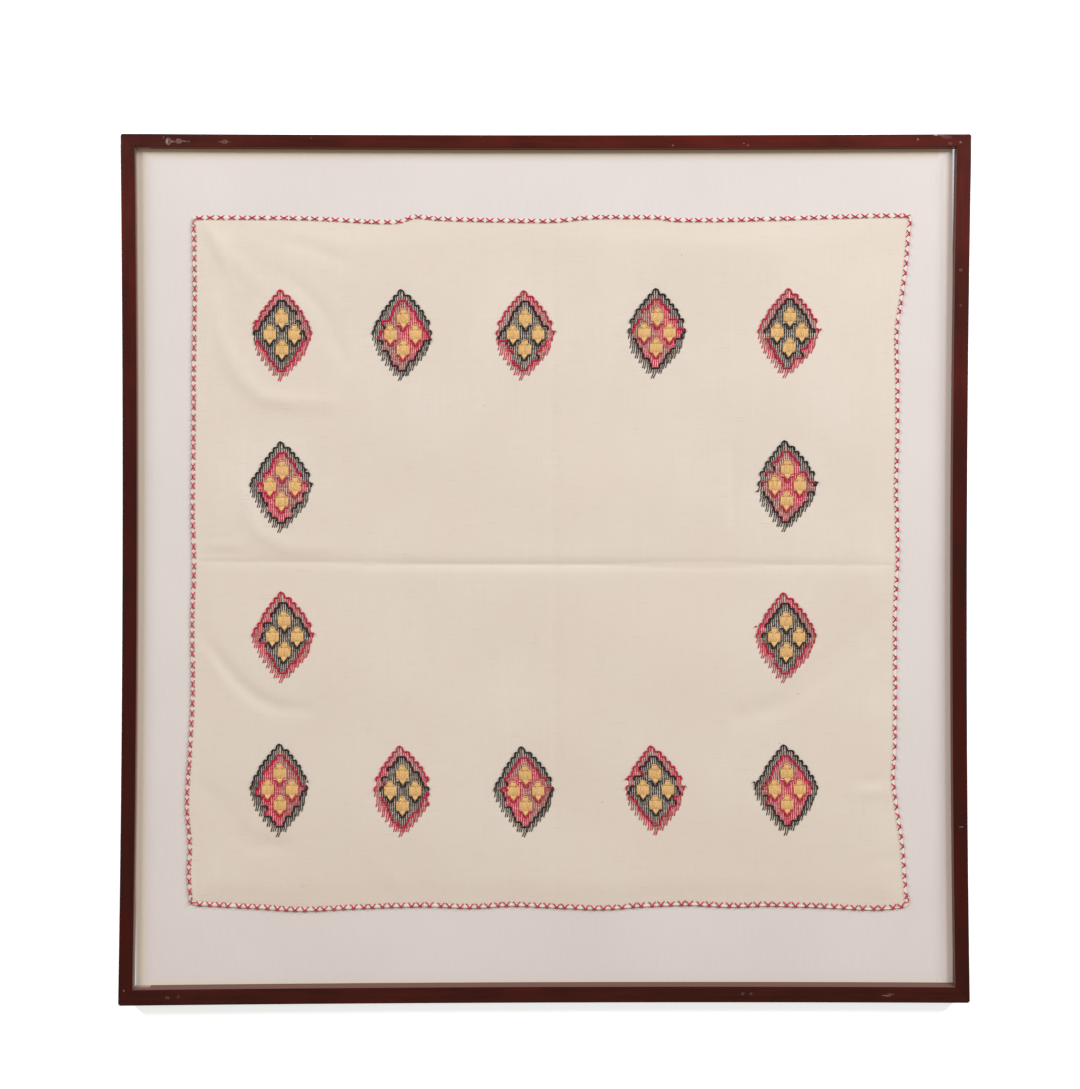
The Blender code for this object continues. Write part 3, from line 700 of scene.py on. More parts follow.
def make_cloth(material):
    """The cloth as one closed sheet, thicker in its rolled hem."""
    across = mesh_lines(MESH_SIZE[0], *MESH_ACROSS, CREASES_DOWN)
    up = mesh_lines(MESH_SIZE[1], *MESH_UP, CREASES_ACROSS)
    places = patch(across, up)
    rows, columns = len(up), len(across)
    flat = places.reshape(-1, 2)
    inset_u = np.minimum(across, 1 - across)[None, :] * MESH_SIZE[0] + np.zeros((rows, 1))
    inset_v = np.minimum(up, 1 - up)[:, None] * MESH_SIZE[1] + np.zeros((1, columns))
    inset = np.minimum(inset_u, inset_v).ravel()
    rest = CLOTH_BOTTOM + np.maximum(lift(flat, edge_distance(flat)), 0.0)
    hem, under = np.array(HEM_ROUND) * MM, np.array(HEM_UNDER) * MM
    roll = 1 + 0.1 * np.sin(flat[:, 0] / (3.1 * MM)) * np.sin(flat[:, 1] / (2.7 * MM))
    face = rest + np.interp(inset, hem[:, 0], hem[:, 1]) * np.where(inset < HEM_WIDTH, roll, 1.0)
    back = rest + np.interp(inset, under[:, 0], under[:, 1])
    on_edge = inset <= 1e-9
    face[on_edge] = back[on_edge]
    number = np.arange(len(flat))
    inner = np.flatnonzero(~on_edge)
    back_number = number.copy()
    back_number[inner] = len(flat) + np.arange(len(inner))
    vertices = np.vstack([np.c_[flat, face], np.c_[flat[inner], back[inner]]])
    faces = grid_faces(rows, columns, 0, False)
    faces += [tuple(int(back_number[i]) for i in one) for one in grid_faces(rows, columns, 0, True)]
    doubled = np.interp(inset, (HEM_WIDTH - 0.5 * MM, HEM_WIDTH + 0.2 * MM), (1.0, 0.0))
    # At the hem's inner foot the cloth is painted ochre: the stitch line, and painted shade in the groove
    # there.
    stitch_line_and_shade = np.interp(np.abs(inset - HEM_WIDTH), (0.3 * MM, 0.9 * MM), (1.0, 0.0))
    masks = {"hem": doubled, "crease": stitch_line_and_shade}
    values = {name: np.concatenate([mask, mask[inner]]) for name, mask in masks.items()}
    return add_piece("handwoven_cloth", vertices, faces, material, "cotton_cloth", values)


CREAM_LIGHT = (0.625, 0.55, 0.475, 1.0)
CREAM_WARM = (0.6, 0.512, 0.43, 1.0)
HEM_PALE = (0.655, 0.585, 0.52, 1.0)
CREASE_OCHRE = (0.4, 0.29, 0.185, 1.0)
SLUB_GREY = (0.46, 0.395, 0.325, 1.0)
SEED_BROWN = (0.16, 0.11, 0.08, 1.0)
THREAD_PITCH = 0.62 * MM
WEAVE_WANDER = 2.0 * MM


def make_plain_weave():
    """Over-and-under threads with slubs: their height, the masks of the slubs and of the seed
    flecks, and the threads' uneven tone."""
    group, given, out = new_group(
        "plain_weave",
        (("Place", "Vector"), ("Pitch", "Float")),
        (("Height", "Float"), ("Slubs", "Float"), ("Flecks", "Float"), ("Tone", "Float")),
    )
    drift = place(group, "TexNoise", Vector=given["Place"], Scale=55.0, Detail=2.0).outputs["Color"]
    bent = vector_maths(group, "MULTIPLY_ADD", drift, (WEAVE_WANDER, WEAVE_WANDER, 0.0), given["Place"])
    at = axes_of(group, bent)
    turns = maths(group, "DIVIDE", math.pi, given["Pitch"])
    warp = maths(group, "SINE", times(group, at["X"], turns))
    weft = maths(group, "SINE", times(group, at["Y"], turns))
    over = times(group, warp, weft)
    rounds = maths(group, "MAXIMUM", maths(group, "ABSOLUTE", warp), maths(group, "ABSOLUTE", weft))
    woven = maths(group, "ADD", times(group, over, 0.35), rounds)
    weft_slub = mottle(group, stretched(group, given["Place"], (45.0, 1100.0, 1.0)), 1.0, 1.0, 0.4)
    warp_slub = mottle(group, stretched(group, given["Place"], (1000.0, 38.0, 1.0)), 1.0, 1.0, 0.4)
    down_slubs = between(group, warp_slub, 0.7, 0.8, 0.0, 0.7)
    slubs = maths(group, "MAXIMUM", between(group, weft_slub, 0.66, 0.76), down_slubs)
    weft_tone, warp_tone = (
        between(group, mottle(group, stretched(group, given["Place"], scale), 1.0), 0.3, 0.7)
        for scale in ((18.0, 700.0, 1.0), (600.0, 14.0, 1.0))
    )
    tone = maths(group, "ADD", weft_tone, warp_tone)
    seeds = place(group, "TexVoronoi", {"feature": "F1"}, Vector=given["Place"], Scale=48.0, Randomness=1.0)
    chosen = place(group, "SeparateColor", Color=seeds.outputs["Color"])
    near = between(group, seeds.outputs["Distance"], 0.02, 0.034, 1.0, 0.0)
    picked = between(group, chosen.outputs["Red"], 0.8, 0.84)
    group.links.new(maths(group, "ADD", woven, times(group, slubs, 1.2)), out["Height"])
    group.links.new(slubs, out["Slubs"])
    group.links.new(times(group, near, picked), out["Flecks"])
    group.links.new(times(group, tone, 0.5), out["Tone"])
    return group


PLAIN_WEAVE = make_plain_weave()


def mesh_value(tree, name):
    """A value that the mesh holds at its points."""
    return place(tree, "Attribute", {"attribute_name": name}).outputs["Fac"]


def handwoven_cotton():
    values = {"Roughness": 0.9, "Specular_IOR_Level": 0.2, "Sheen_Weight": 0.06, "Sheen_Roughness": 0.6}
    material, tree, shader = new_finish("handwoven_cotton", **values)
    spot = object_places(tree)
    weave = use_group(tree, PLAIN_WEAVE, Place=spot, Pitch=THREAD_PITCH)
    clouds = between(tree, mottle(tree, spot, 9.0, 4.0, 0.6), 0.3, 0.7)
    warmth = maths(tree, "ADD", times(tree, clouds, 0.55), times(tree, weave["Tone"], 0.45))
    colour = tint(tree, warmth, CREAM_LIGHT, CREAM_WARM)
    colour = tint(tree, times(tree, weave["Slubs"], 0.38), colour, SLUB_GREY)
    colour = tint(tree, times(tree, weave["Flecks"], 0.8), colour, SEED_BROWN)
    colour = tint(tree, times(tree, mesh_value(tree, "hem"), 0.85), colour, HEM_PALE)
    # Ochre line at the hem's foot, partly the stitch line and partly painted shade
    colour = tint(tree, times(tree, mesh_value(tree, "crease"), 0.25), colour, CREASE_OCHRE)
    tree.links.new(colour, shader.inputs["Base Color"])
    add_relief(tree, shader, 0.4, 0.12 * MM, weave["Height"])
    return material


cloth = make_cloth(handwoven_cotton())
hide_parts("cloth")


# Lozenges: fourteen stepped lozenges worked in rows of looped stitches in loosely twisted cotton
# thread. Each row is a line of upright legs that hang from a corded edge, and the cord shows
# wherever the row above is in another thread or missing. Four yellow stars sit in each field.
STITCH_ROWS = 18

# In millimetres: a step across, and how far the threads lie inside and below the charted outline
STEP = 4.45
THREAD_INSET = 1.3
THREAD_DROP = 0.7

# The chart, in steps either way from the middle for each row: the border, then the field
WIDEST_STEPS = 8
CORNER_STEPS = 7.5
LEGS_PER_STEP = 2
BORDER_REACH = (1, 2, 3, 4, 5, 5.5, 6.5, 7.5, 8, 8, 7.5, 6.5, 6, 5, 4, 3, 2, 0.5)
CORNER_ROWS = (7, 8, 9, 10)
FIELD_REACH = (0, 0, 1, 2, 3, 3.5, 4.5, 5, 6, 6, 5, 4.5, 3.5, 3, 2, 1, 0, 0)
STARS = (
    {"row": 4, "across": 0, "raise": 0.3}, {"row": 7, "across": -3, "raise": 0.1},
    {"row": 7, "across": 3, "raise": 0.1}, {"row": 10, "across": 0, "raise": 0.05},
)
STAR_REACH = (0.6, 1.6, 1.6, 0.6)
LEG_RADIUS = 0.56 * MM
LEG_THICKNESS = {"free": 0.96, "field": 1.13, "border": 1.03}
CORD_RADIUS = 0.9 * MM
STRAND_SIDES = 6
PLY_PITCH = 1.1 * MM
THREADS = {
    "red": {"base": (0.53, 0.019, 0.064, 1.0), "deep": (0.24, 0.005, 0.018, 1.0), "slot": "red_thread"},
    "black": {"base": (0.022, 0.02, 0.021, 1.0), "deep": (0.006, 0.005, 0.006, 1.0), "slot": "black_thread"},
    "yellow": {"base": (0.72, 0.45, 0.2, 1.0), "deep": (0.5, 0.29, 0.06, 1.0), "slot": "yellow_thread"},
}

# Slips of the hand, by lozenge: loops of thread left standing, as steps across and rows down on a
# lozenge of the widest reach, and the way they point in degrees
LOOPS = {
    0: ((-6.8, 6.5, 150), (-6.4, 6.1, 120)),
    1: ((7.6, 10.0, -10), (7.0, 9.8, 180), (6.4, 9.9, 0)),
    2: ((8.3, 8.2, 60),),
    4: ((8.4, 8.2, 40),),
    5: ((5.8, 5.4, 10), (8.2, 8.3, 30)),
    6: ((8.2, 8.2, 45), (-8.2, 9.9, 170), (-1.4, 0.9, 160)),
    7: ((8.2, 8.2, 50),),
    8: ((-8.1, 6.7, 150), (3.6, 11.0, 0)),
    9: ((8.0, 7.2, 80),),
    10: ((6.0, 6.9, 30),),
    12: ((8.3, 8.1, 50), (-7.9, 6.6, 190)),
    13: ((-8.3, 7.4, 100), (-8.0, 7.9, 110)),
}


def make_twisted_thread():
    """Two-ply twist: a colour deepened by painted shade in the grooves between the plies, and
    the plies' height.
    """
    group, given, out = new_group(
        "twisted_thread",
        (("Place", "Vector"), ("Base", "Color"), ("Deep", "Color")),
        (("Colour", "Color"), ("Height", "Float")),
    )
    turns = times(group, mesh_value(group, "twist"), math.pi)
    ply = maths(group, "ABSOLUTE", maths(group, "SINE", turns))
    fibres = mottle(group, given["Place"], 2600.0, 2.0, 0.7)
    groove_shade = between(group, ply, 0.0, 0.65, 0.75, 0.0)
    shade = maths(group, "ADD", groove_shade, times(group, mesh_value(group, "tone"), 0.7))
    uneven = maths(group, "ADD", shade, between(group, fibres, 0.3, 0.7, -0.15, 0.25))
    group.links.new(tint(group, uneven, given["Base"], given["Deep"]), out["Colour"])
    group.links.new(maths(group, "ADD", ply, times(group, fibres, 0.4)), out["Height"])
    return group


TWISTED_THREAD = make_twisted_thread()


def thread_finish(thread):
    values = {"Roughness": 0.78, "Specular_IOR_Level": 0.25, "Sheen_Weight": 0.1, "Sheen_Roughness": 0.5}
    material, tree, shader = new_finish(thread + "_thread", **values)
    base, deep = THREADS[thread]["base"], THREADS[thread]["deep"]
    twisted = use_group(tree, TWISTED_THREAD, Place=object_places(tree), Base=base, Deep=deep)
    tree.links.new(twisted["Colour"], shader.inputs["Base Color"])
    add_relief(tree, shader, 0.5, 0.12 * MM, twisted["Height"])
    return material


for thread_name, thread_values in THREADS.items():
    thread_values["finish"] = thread_finish(thread_name)


def strand(points, radii, flatness, tone):
    """One thread as a path of (x, y, height over the face), with a radius at each point."""
    points, radii = np.array(points, float), np.array(radii, float)
    return {"points": points, "radii": radii, "flatness": flatness, "tone": tone}


def lay_strands(name, strands, thread, on_face=True):
    """Skins the strands as one piece. Their heights are over the cloth's face, or as given."""
    every = np.vstack([one["points"] for one in strands])
    if on_face:
        every[:, 2] += face_height(every[:, :2])
    vertices, faces, twist, tone = [], [], [], []
    around = np.arange(STRAND_SIDES) / STRAND_SIDES * math.tau - math.pi / 2
    used = taken = 0
    for one in strands:
        count = len(one["points"])
        path = every[taken : taken + count]
        taken += count
        way = np.gradient(path, axis=0)
        way /= np.linalg.norm(way, axis=1, keepdims=True)
        side = np.cross(way, (0.0, 0.0, 1.0))
        side /= np.maximum(np.linalg.norm(side, axis=1, keepdims=True), 1e-9)
        up = np.cross(side, way)
        level = np.cos(around)[None, :, None] * side[:, None]
        upright = np.sin(around)[None, :, None] * up[:, None] * one["flatness"]
        ring = (level + upright) * one["radii"][:, None, None]
        vertices.append((path[:, None] + ring).reshape(-1, 3))
        run = np.concatenate([[0.0], np.cumsum(np.linalg.norm(np.diff(path, axis=0), axis=1))])
        twist.append((run[:, None] / PLY_PITCH + np.arange(STRAND_SIDES)[None] / STRAND_SIDES).ravel())
        tone.append(np.full(count * STRAND_SIDES, one["tone"]))
        for i in range(count - 1):
            for k in range(STRAND_SIDES):
                low, high = used + i * STRAND_SIDES, used + (i + 1) * STRAND_SIDES
                after = (k + 1) % STRAND_SIDES
                faces.append((low + k, low + after, high + after, high + k))
        faces.append(tuple(range(used + STRAND_SIDES - 1, used - 1, -1)))
        faces.append(tuple(range(used + (count - 1) * STRAND_SIDES, used + count * STRAND_SIDES)))
        used += count * STRAND_SIDES
    values = {"twist": np.concatenate(twist), "tone": np.concatenate(tone)}
    look = THREADS[thread]
    return add_piece(name, np.vstack(vertices), faces, look["finish"], look["slot"], values)


def chart_place(lozenge, across, down):
    """A point of the chart, given in steps across and rows down, on the cloth."""
    reach = lozenge["reach"][0 if across < 0 else 1] - THREAD_INSET
    widest = lozenge["widest"][0 if across < 0 else 1]
    squeeze = (STEP * widest - reach) * (across / widest) ** 3
    bend = 1 - down / STITCH_ROWS * 2
    drift = lozenge["drift"][0 if bend > 0 else 1] * abs(bend) ** 1.5
    x = lozenge["at"][0] + across * STEP - squeeze + drift
    y = lozenge["at"][1] + lozenge["height"] * (0.5 - down / STITCH_ROWS) - THREAD_DROP
    return x * MM, y * MM


def thread_at(lozenge, row, across):
    """The thread that covers a point of the chart, or None off the lozenge."""
    if not 0 <= row < STITCH_ROWS:
        return None
    left, right = lozenge["border"][row]
    if not -left < across < right:
        return None
    for star in STARS:
        part = row - star["row"]
        if 0 <= part < len(STAR_REACH) and abs(across - star["across"]) < STAR_REACH[part]:
            return "yellow"
    border, field = lozenge["threads"]
    left, right = lozenge["field"][row]
    return field if -left < across < right else border


def thread_path(lozenge, spots, radius, flatness, tone):
    """A strand through spots of the chart: steps across, rows down, height in mm, and thickness."""
    points = [(*chart_place(lozenge, across, down), height * MM) for across, down, height, _ in spots]
    return strand(points, [radius * thick for *_, thick in spots], flatness, tone)


def leg_strand(lozenge, across, row, free, chance):
    """One upright leg of a looped stitch. The border's lean out a little towards the foot, and a
    free one, with no row below it, leans to the left."""
    lean = chance.uniform(-0.025, 0.015)
    end, last = 1.08, 0.16
    kind = "field" if abs(across) < lozenge["field"][row][0 if across < 0 else 1] else "border"
    if kind == "border":
        lean += -0.12 if across < 0 or row > 9 else 0.1
    if free:
        kind, last = "free", 0.08
        lean -= 0.16 if row < STITCH_ROWS - 1 else 0.34
        end = chance.uniform(0.98, 1.14)
    top = across + chance.uniform(-0.02, 0.02)
    spots = (
        (top, row + 0.02, 0.16, 0.9),
        (top + lean * 0.25, row + 0.28, 0.27, 1.0),
        (top + lean * 0.6, row + 0.6, 0.3, 1.05),
        (top + lean * 0.9, row + end * 0.85, 0.25, 0.98),
        (top + lean, row + end, last, 0.72),
    )
    tone = chance.uniform(-0.25, 0.25)
    radius = LEG_RADIUS * LEG_THICKNESS[kind] * chance.uniform(0.92, 1.1)
    return thread_path(lozenge, spots, radius, 0.65, tone)


# How a cord starts and finishes, as steps from its end, rows down and height in millimetres, and
# the one cord at a lozenge's top, whose start and middle are in steps from the middle
CORD_STARTS = {
    "open": ((0.1, 0.95, 0.2), (-0.04, 0.62, 0.75), (-0.03, 0.32, 0.9), (0.12, 0.08, 0.9)),
    "tail": ((-0.28, 1.0, 0.3), (-0.12, 0.7, 0.85), (0.1, 0.36, 0.95), (0.34, 0.1, 0.9)),
    "joined": ((-0.05, 0.06, 0.25),),
}
CORD_FINISHES = {
    "open": ((-0.08, 0.1, 0.85), (0.05, 0.4, 0.8), (0.0, 0.85, 0.2)),
    "tail": ((-0.34, 0.1, 0.9), (-0.1, 0.36, 0.95), (0.12, 0.7, 0.85), (0.28, 1.0, 0.3)),
    "joined": ((0.05, 0.06, 0.25),),
}
APEX_START = ((-0.86, 0.95, 0.2), (-0.95, 0.62, 0.7), (-0.86, 0.28, 0.85), (-0.62, 0.0, 0.9))
APEX_MIDDLE = ((-0.3, -0.12), (-0.02, -0.06), (0.2, 0.12), (0.36, 0.32))
APEX_FINISH = ((-0.08, 0.5, 0.85), (0.05, 0.72, 0.8), (0.0, 0.95, 0.2))


def cord_strand(lozenge, start, end, row, turns, chance):
    """The corded edge along the top of a run of stitches. At an open end it turns down the side,
    and by a star's tail it follows the tail to its point."""
    spots = [(start + aside, down, height) for aside, down, height in CORD_STARTS[turns[0]]]
    count = max(1, round((end - start - 0.6) / 0.25) + 1)
    inner = [(start + 0.3 + i * 0.25, 0.0) for i in range(count)]
    finish = CORD_FINISHES[turns[1]]
    if row == 0:
        spots, inner, finish = list(APEX_START), APEX_MIDDLE, APEX_FINISH
    for i, (across, down) in enumerate(inner):
        spots.append((across, down + 0.05 * math.sin(i * 2.2), 0.8))
    spots += [(end + aside, down, height) for aside, down, height in finish]
    shaped = []
    for i, (across, down, height) in enumerate(spots):
        thick = 0.65
        if 0 < i < len(spots) - 1:
            thick = 1.0 + 0.09 * math.sin(i * 2.1) + chance.uniform(-0.05, 0.05)
        shaped.append((across, row + down, height, thick))
    return thread_path(lozenge, shaped, CORD_RADIUS, 0.75, chance.uniform(0.05, 0.3))


# A star's threads: the body's as shares of its length, heights and thicknesses, and the arch's and
# a shoulder's as steps across, rows down, heights and thicknesses
STAR_RADIUS = 0.58 * MM
STAR_FLATNESS = 0.85
STAR_BODY = ((0.0, 0.6, 0.9), (0.15, 0.85, 1.1), (0.5, 0.9, 1.15), (0.85, 0.75, 1.1), (1.0, 0.2, 0.8))
STAR_ARCH = (
    (-0.66, 0.46, 0.4, 0.7), (-0.58, 0.16, 0.95, 0.95), (-0.3, -0.02, 1.05, 1.0),
    (0.2, -0.02, 1.05, 1.0), (0.55, 0.16, 0.95, 0.95), (0.64, 0.46, 0.4, 0.7),
)
STAR_SHOULDER = (
    (0.42, 0.4, 0.9, 0.6), (0.6, 0.62, 1.15, 1.2), (0.85, 0.84, 1.2, 1.3), (1.15, 0.95, 1.1, 1.1),
    (1.5, 1.08, 0.4, 0.7),
)


def star_strands(lozenge, star, chance):
    """A yellow star: a looped tab between ochre shoulders, a closely filled body and a tail."""
    middle, top = star["across"] + chance.uniform(-0.12, 0.12), star["row"] - star["raise"]
    strands = []

    def add(spots, tone, radius=STAR_RADIUS):
        strands.append(thread_path(lozenge, spots, radius, STAR_FLATNESS, tone))

    for i in range(5):
        across = middle + (i - 2) * 0.26
        spots = (
            (across, top + 0.08 + abs(i - 2) * 0.06, 0.4, 0.9),
            (across, top + 0.4, 0.8, 1.05),
            (across, top + 0.8, 0.85, 1.1),
            (across, top + 1.35, 0.6, 0.9),
        )
        add(spots, chance.uniform(-0.2, 0.15))
    for i in range(11):
        across = middle + (i - 5) * 0.272
        start = top + 0.98 + chance.uniform(-0.06, 0.06)
        end = top + 3.0 + chance.uniform(-0.05, 0.06)
        if i in (0, 10):
            start, end = start + 0.1, end - 0.12
        spots = [
            (across + chance.uniform(-0.03, 0.03), start + (end - start) * share, height, thick)
            for share, height, thick in STAR_BODY
        ]
        add(spots, chance.uniform(-0.2, 0.3))
    for i in range(5):
        side = (i - 2) / 2
        end = top + 4.0 - abs(side) * 0.35 + chance.uniform(-0.05, 0.05)
        spots = (
            (middle + side * 0.62, top + 2.75, 0.5, 1.0),
            (middle + side * 0.5, top + 3.12, 0.8, 1.05),
            (middle + side * 0.3, (top + 3.2 + end) / 2, 0.8, 1.1),
            (middle + side * 0.12, end, 0.3, 0.8),
        )
        add(spots, chance.uniform(-0.2, 0.2))
    add([(middle + aside, top + down, *rest) for aside, down, *rest in STAR_ARCH], 0.2, STAR_RADIUS * 0.9)
    for side in (-1, 1):
        add([(middle + side * aside, top + down, *rest) for aside, down, *rest in STAR_SHOULDER], 0.75)
    return strands


LOOP_PATH = (
    (-1.0, -0.3, 0.3, 0.8), (0.0, -0.45, 1.0, 1.0), (0.9, -0.3, 1.3, 1.0), (1.2, 0.1, 1.3, 1.0),
    (0.7, 0.4, 1.2, 1.0), (-0.3, 0.35, 0.5, 0.8),
)


def loop_strand(lozenge, across, row, turn, chance):
    """A loop of thread left standing by a slip of the hand."""
    angle = math.radians(turn + chance.uniform(-15, 15))
    cosine, sine = math.cos(angle), math.sin(angle)
    spots = []
    for forward, aside, height, thick in LOOP_PATH:
        right = forward * cosine - aside * sine
        up = forward * sine + aside * cosine
        spots.append((across + right * 0.24, row - up * 0.2, height, thick))
    return thread_path(lozenge, spots, LEG_RADIUS, 0.95, 0.3)


def corded_runs(lozenge, row, places, threads):
    """Runs of legs in one thread with another thread or nothing above them, as first and last."""
    runs, first = [], None
    for i, (across, thread) in enumerate(zip(places, threads)):
        bare = thread != "yellow" and thread_at(lozenge, row - 1, across) != thread
        if first is not None and (not bare or thread != threads[first]):
            runs.append((first, i - 1))
            first = None
        if bare and first is None:
            first = i
    return runs + ([(first, len(places) - 1)] if first is not None else [])


def turn_at(threads, i, thread):
    """How a cord ends beside the leg at i: open, by a star's tail, or joined to its own thread."""
    if not 0 <= i < len(threads):
        return "open"
    if threads[i] == thread:
        return "joined"
    return "tail" if threads[i] == "yellow" else "open"


def work_lozenge(index):
    """Every strand of one lozenge, by thread."""
    lozenge = LOZENGES[index]
    chance = random.Random(100 + index)
    lozenge["field"] = [[reach, reach] for reach in FIELD_REACH]
    for row in range(4, 15):
        for side in (0, 1):
            lozenge["field"][row][side] += chance.choice((0.0, 0.0, 0.0, 0.5, -0.5))
    lozenge["widest"] = [min(round(2 * reach / STEP) / 2, WIDEST_STEPS) for reach in lozenge["reach"]]
    lozenge["border"] = [[reach, reach] for reach in BORDER_REACH]
    lozenge["border"][0][1] = 0.5
    for row in CORNER_ROWS:
        for side in (0, 1):
            most = lozenge["widest"][side] - (0.5 if row in (7, 10) else 0.0)
            lozenge["border"][row][side] = min(BORDER_REACH[row], most)
    # The first lozenge's field runs out to its left corner
    if index == 0:
        for row in (8, 9):
            lozenge["border"][row][0] = lozenge["field"][row][0] = 7
        lozenge["border"][7][0] = 7
    worked = {thread: [] for thread in THREADS}
    for row in range(STITCH_ROWS):
        left, right = lozenge["border"][row]
        count = round((left + right) * LEGS_PER_STEP)
        places = [-left + (i + 0.5) / LEGS_PER_STEP for i in range(count)]
        threads = [thread_at(lozenge, row, across) for across in places]
        for across, thread in zip(places, threads):
            if thread != "yellow":
                free = thread_at(lozenge, row + 1, across) is None
                worked[thread].append(leg_strand(lozenge, across, row, free, chance))
        half = 0.5 / LEGS_PER_STEP
        for first, last in corded_runs(lozenge, row, places, threads):
            thread = threads[first]
            turns = turn_at(threads, first - 1, thread), turn_at(threads, last + 1, thread)
            start, end = places[first] - half, places[last] + half
            worked[thread].append(cord_strand(lozenge, start, end, row, turns, chance))
    for star in STARS:
        worked["yellow"] += star_strands(lozenge, star, chance)
    for across, row, turn in LOOPS.get(index, ()):
        if abs(across) > CORNER_STEPS:
            across = math.copysign(lozenge["widest"][across > 0] + abs(across) - WIDEST_STEPS, across)
        worked[lozenge["threads"][0]].append(loop_strand(lozenge, across, row, turn, chance))
    return worked


LOZENGE_ROWS = (
    ("first", range(0, 5)), ("second", range(5, 7)), ("third", range(7, 9)), ("fourth", range(9, 14)),
)
for row_name, indices in LOZENGE_ROWS:
    gathered = {thread: [] for thread in THREADS}
    for index in indices:
        for thread, strands in work_lozenge(index).items():
            gathered[thread] += strands
    for thread, strands in gathered.items():
        lay_strands(f"{row_name}_row_{thread}_stitches", strands, thread)


# Edge stitches: the rolled hem is whipped down with red cross stitches in one long thread. Each
# cross sits astride the roll, with its feet in the cloth and its arms drawn over the outer edge.

# Each side's crosses: their count, then in millimetres how far in they cross, their reach along
# the hem inside and outside, how far in their feet stand and the thread's radius, then the share
# of the side that is left free at its start and its end
EDGE_KEYS = ("side", "count", "crossing", "inner", "outer", "feet", "radius", "ends")
EDGE_STITCHES = tuple(
    dict(zip(EDGE_KEYS, values))
    for values in (
        ("top", 69, 2.1, 4.2, 3.9, 4.0, 0.6, (0.0135, 0.007)),
        ("right", 69, 0.45, 3.8, 2.0, 3.4, 0.64, (0.009, 0.0225)),
        ("bottom", 75, 1.5, 4.0, 2.6, 5.1, 0.62, (0.003, 0.0085)),
        ("left", 68, 1.9, 4.1, 3.7, 3.9, 0.5, (0.0095, 0.0145)),
    )
)
CROSS_SWELL = (0.7, 0.95, 1.0, 1.12, 1.12, 1.0, 0.95, 0.85, 0.6)


def edge_stitch(edge, share, chance):
    """The two strands of one cross stitch over the hem."""
    length = SIDES[edge["side"]][1][-1]
    middle = along_side(edge["side"], share)
    before = along_side(edge["side"], max(share - 2 * MM / length, 0.0))
    way = along_side(edge["side"], min(share + 2 * MM / length, 1.0)) - before
    way /= np.linalg.norm(way)
    inward = np.array((way[1], -way[0]))
    crossed = edge["crossing"] + chance.uniform(-0.35, 0.35)
    feet = edge["feet"] * chance.uniform(0.92, 1.06)
    strands = []
    for order, hand in enumerate((-1, 1)):
        inner = edge["inner"] * chance.uniform(0.88, 1.1)
        outer = edge["outer"] * chance.uniform(0.85, 1.1)
        path = (
            (-inner, feet + 0.1, 0.2),
            (-inner * 0.9, feet - 0.25, 0.95),
            (-inner * 0.55, (feet + crossed) / 2 + 0.3, 1.5),
            (-inner * 0.2, crossed + 0.35, 1.7 + 0.2 * order),
            (outer * 0.12, crossed - 0.15, 1.75 + 0.3 * order),
            (outer * 0.5, max(crossed * 0.45, 0.3), 1.6),
            (outer * 0.85, 0.05, 1.2),
            (outer, -0.25, 0.7),
            (outer * 0.98, 0.1, 0.3),
        )
        points = []
        for along, inset, height in path:
            spot = middle + (way * along * hand + inward * inset) * MM
            points.append((*spot, height * MM))
        radii = [edge["radius"] * MM * swell for swell in CROSS_SWELL]
        strands.append(strand(points, radii, 0.7, chance.uniform(-0.2, 0.35)))
    return strands


def corner_strands():
    """The slanted stitch across the top left corner, and the loop left at the bottom right one."""
    slanted = ((-374.6, 366.9), (-374.9, 369.6), (-373.2, 372.2), (-370.2, 374.2), (-366.6, 374.8))
    loop = (
        (383.2, -351.2), (385.0, -350.0), (387.2, -350.9), (387.9, -353.1), (386.7, -355.2),
        (384.5, -355.5), (383.5, -354.0),
    )
    return [
        strand([(x * MM, y * MM, 1.5 * MM) for x, y in path], [0.5 * MM] * len(path), 0.75, 0.0)
        for path in (slanted, loop)
    ]


for side_index, edge in enumerate(EDGE_STITCHES):
    chance = random.Random(40 + side_index)
    strands = []
    first, last = edge["ends"]
    for i in range(edge["count"]):
        spaced = first + (1 - first - last) * i / (edge["count"] - 1)
        strands += edge_stitch(edge, spaced + chance.uniform(-0.0014, 0.0014), chance)
    if edge["side"] == "right":
        strands += corner_strands()
    feet = np.vstack([one["points"] for one in strands])
    rest = CLOTH_BOTTOM + np.maximum(lift(feet[:, :2], edge_distance(feet[:, :2])), 0.0)
    feet_before = 0
    for one in strands:
        count = len(one["points"])
        one["points"][:, 2] += rest[feet_before : feet_before + count]
        feet_before += count
    lay_strands(f"{edge['side']}_edge_stitches", strands, "red", on_face=False)


# Studio: the panel lies on its back on a plain pale floor, a white sheet that glows a little of
# itself, as if lit from below, which lightens the shadows on it, under two tall soft lights, to
# the upper left and upper right, with a little even light all round. The camera looks straight
# down, and would see plain white past the floor.
FLOOR_PALE = (0.93, 0.93, 0.93, 1.0)
FLOOR_SHADE = (0.9, 0.9, 0.9, 1.0)
FLOOR_REACH = 6.0
FLOOR_GLOW = {"Emission_Color": (0.84, 0.94, 1.0, 1.0), "Emission_Strength": 0.63}
ALL_ROUND_LIGHT = 0.43
ALL_ROUND_COLOUR = (1.0, 0.78, 0.6, 1.0)
BACKDROP_WHITE = (1.0, 1.0, 1.0, 1.0)
LIGHT_COLOUR = (0.84, 0.93, 1.0)
LIGHTS = (
    {"name": "left_light", "at": (-2.7, 1.85, 2.0), "size": (0.35, 2.2), "power": 112.0},
    {"name": "right_light", "at": (2.7, 1.85, 2.0), "size": (0.35, 2.2), "power": 161.0},
)
CAMERA_AT = (-0.0052, 0.0261, 1.375)
CAMERA_LENS = 42.1


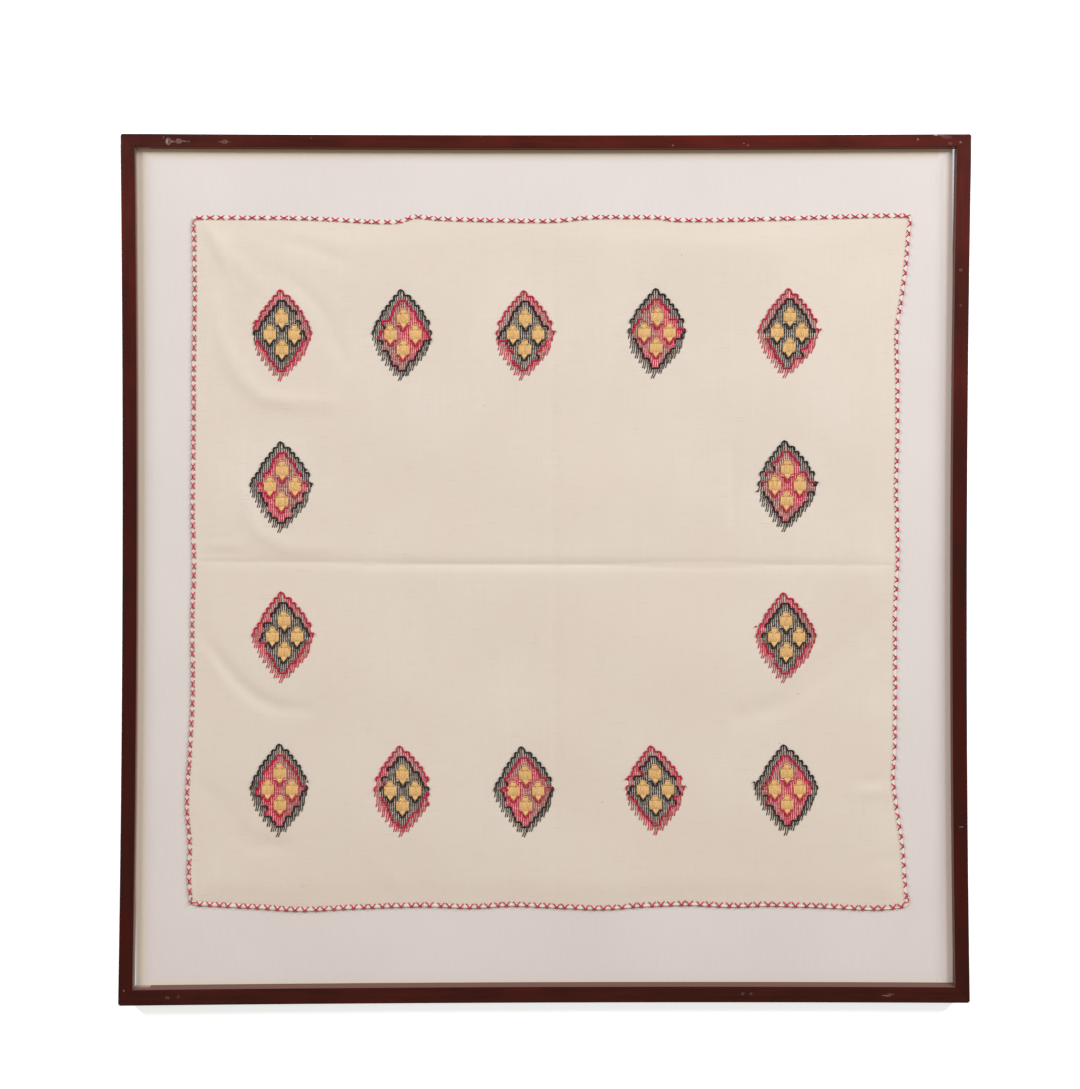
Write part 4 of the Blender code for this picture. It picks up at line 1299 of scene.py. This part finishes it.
def make_floor():
    corners = np.array(((-1, -1, 0), (1, -1, 0), (1, 1, 0), (-1, 1, 0))) * FLOOR_REACH
    mesh = bpy.data.meshes.new("floor")
    mesh.from_pydata(corners.tolist(), [], [(0, 1, 2, 3)])
    values = {"Roughness": 0.9, "Specular_IOR_Level": 0.1, **FLOOR_GLOW}
    material, tree, shader = new_finish("pale_floor", **values)
    clouds = between(tree, mottle(tree, object_places(tree), 3.0, 2.0), 0.3, 0.7)
    tree.links.new(tint(tree, clouds, FLOOR_PALE, FLOOR_SHADE), shader.inputs["Base Color"])
    mesh.materials.append(material)
    floor = bpy.data.objects.new("floor", mesh)
    bpy.context.scene.collection.objects.link(floor)


def make_light(values):
    data = bpy.data.lights.new(values["name"], "AREA")
    data.shape = "RECTANGLE"
    data.size, data.size_y = values["size"]
    data.energy = values["power"]
    data.color = LIGHT_COLOUR
    light = bpy.data.objects.new(values["name"], data)
    light.location = values["at"]
    light.rotation_euler = (-light.location).to_track_quat("-Z", "Y").to_euler()
    bpy.context.scene.collection.objects.link(light)


make_floor()
for light_values in LIGHTS:
    make_light(light_values)
world = bpy.data.worlds.new("all_round_light")
world.use_nodes = True
sky = world.node_tree
even_light = sky.nodes["Background"]
even_light.inputs["Color"].default_value = ALL_ROUND_COLOUR
even_light.inputs["Strength"].default_value = ALL_ROUND_LIGHT
backdrop = place(sky, "Background", Color=BACKDROP_WHITE)
seen = place(sky, "LightPath")
chosen = place(sky, "MixShader")
for given, socket in (
    (seen.outputs["Is Camera Ray"], chosen.inputs[0]),
    (even_light.outputs[0], chosen.inputs[1]),
    (backdrop.outputs[0], chosen.inputs[2]),
    (chosen.outputs[0], sky.nodes["World Output"].inputs["Surface"]),
):
    sky.links.new(given, socket)
bpy.context.scene.world = world
bpy.context.scene.view_settings.view_transform = "Standard"

camera_data = bpy.data.cameras.new("face_on_camera")
camera_data.lens = CAMERA_LENS
camera_data.sensor_width = 36.0
camera = bpy.data.objects.new("face_on_camera", camera_data)
camera.location = CAMERA_AT
bpy.context.scene.collection.objects.link(camera)
bpy.context.scene.camera = camera
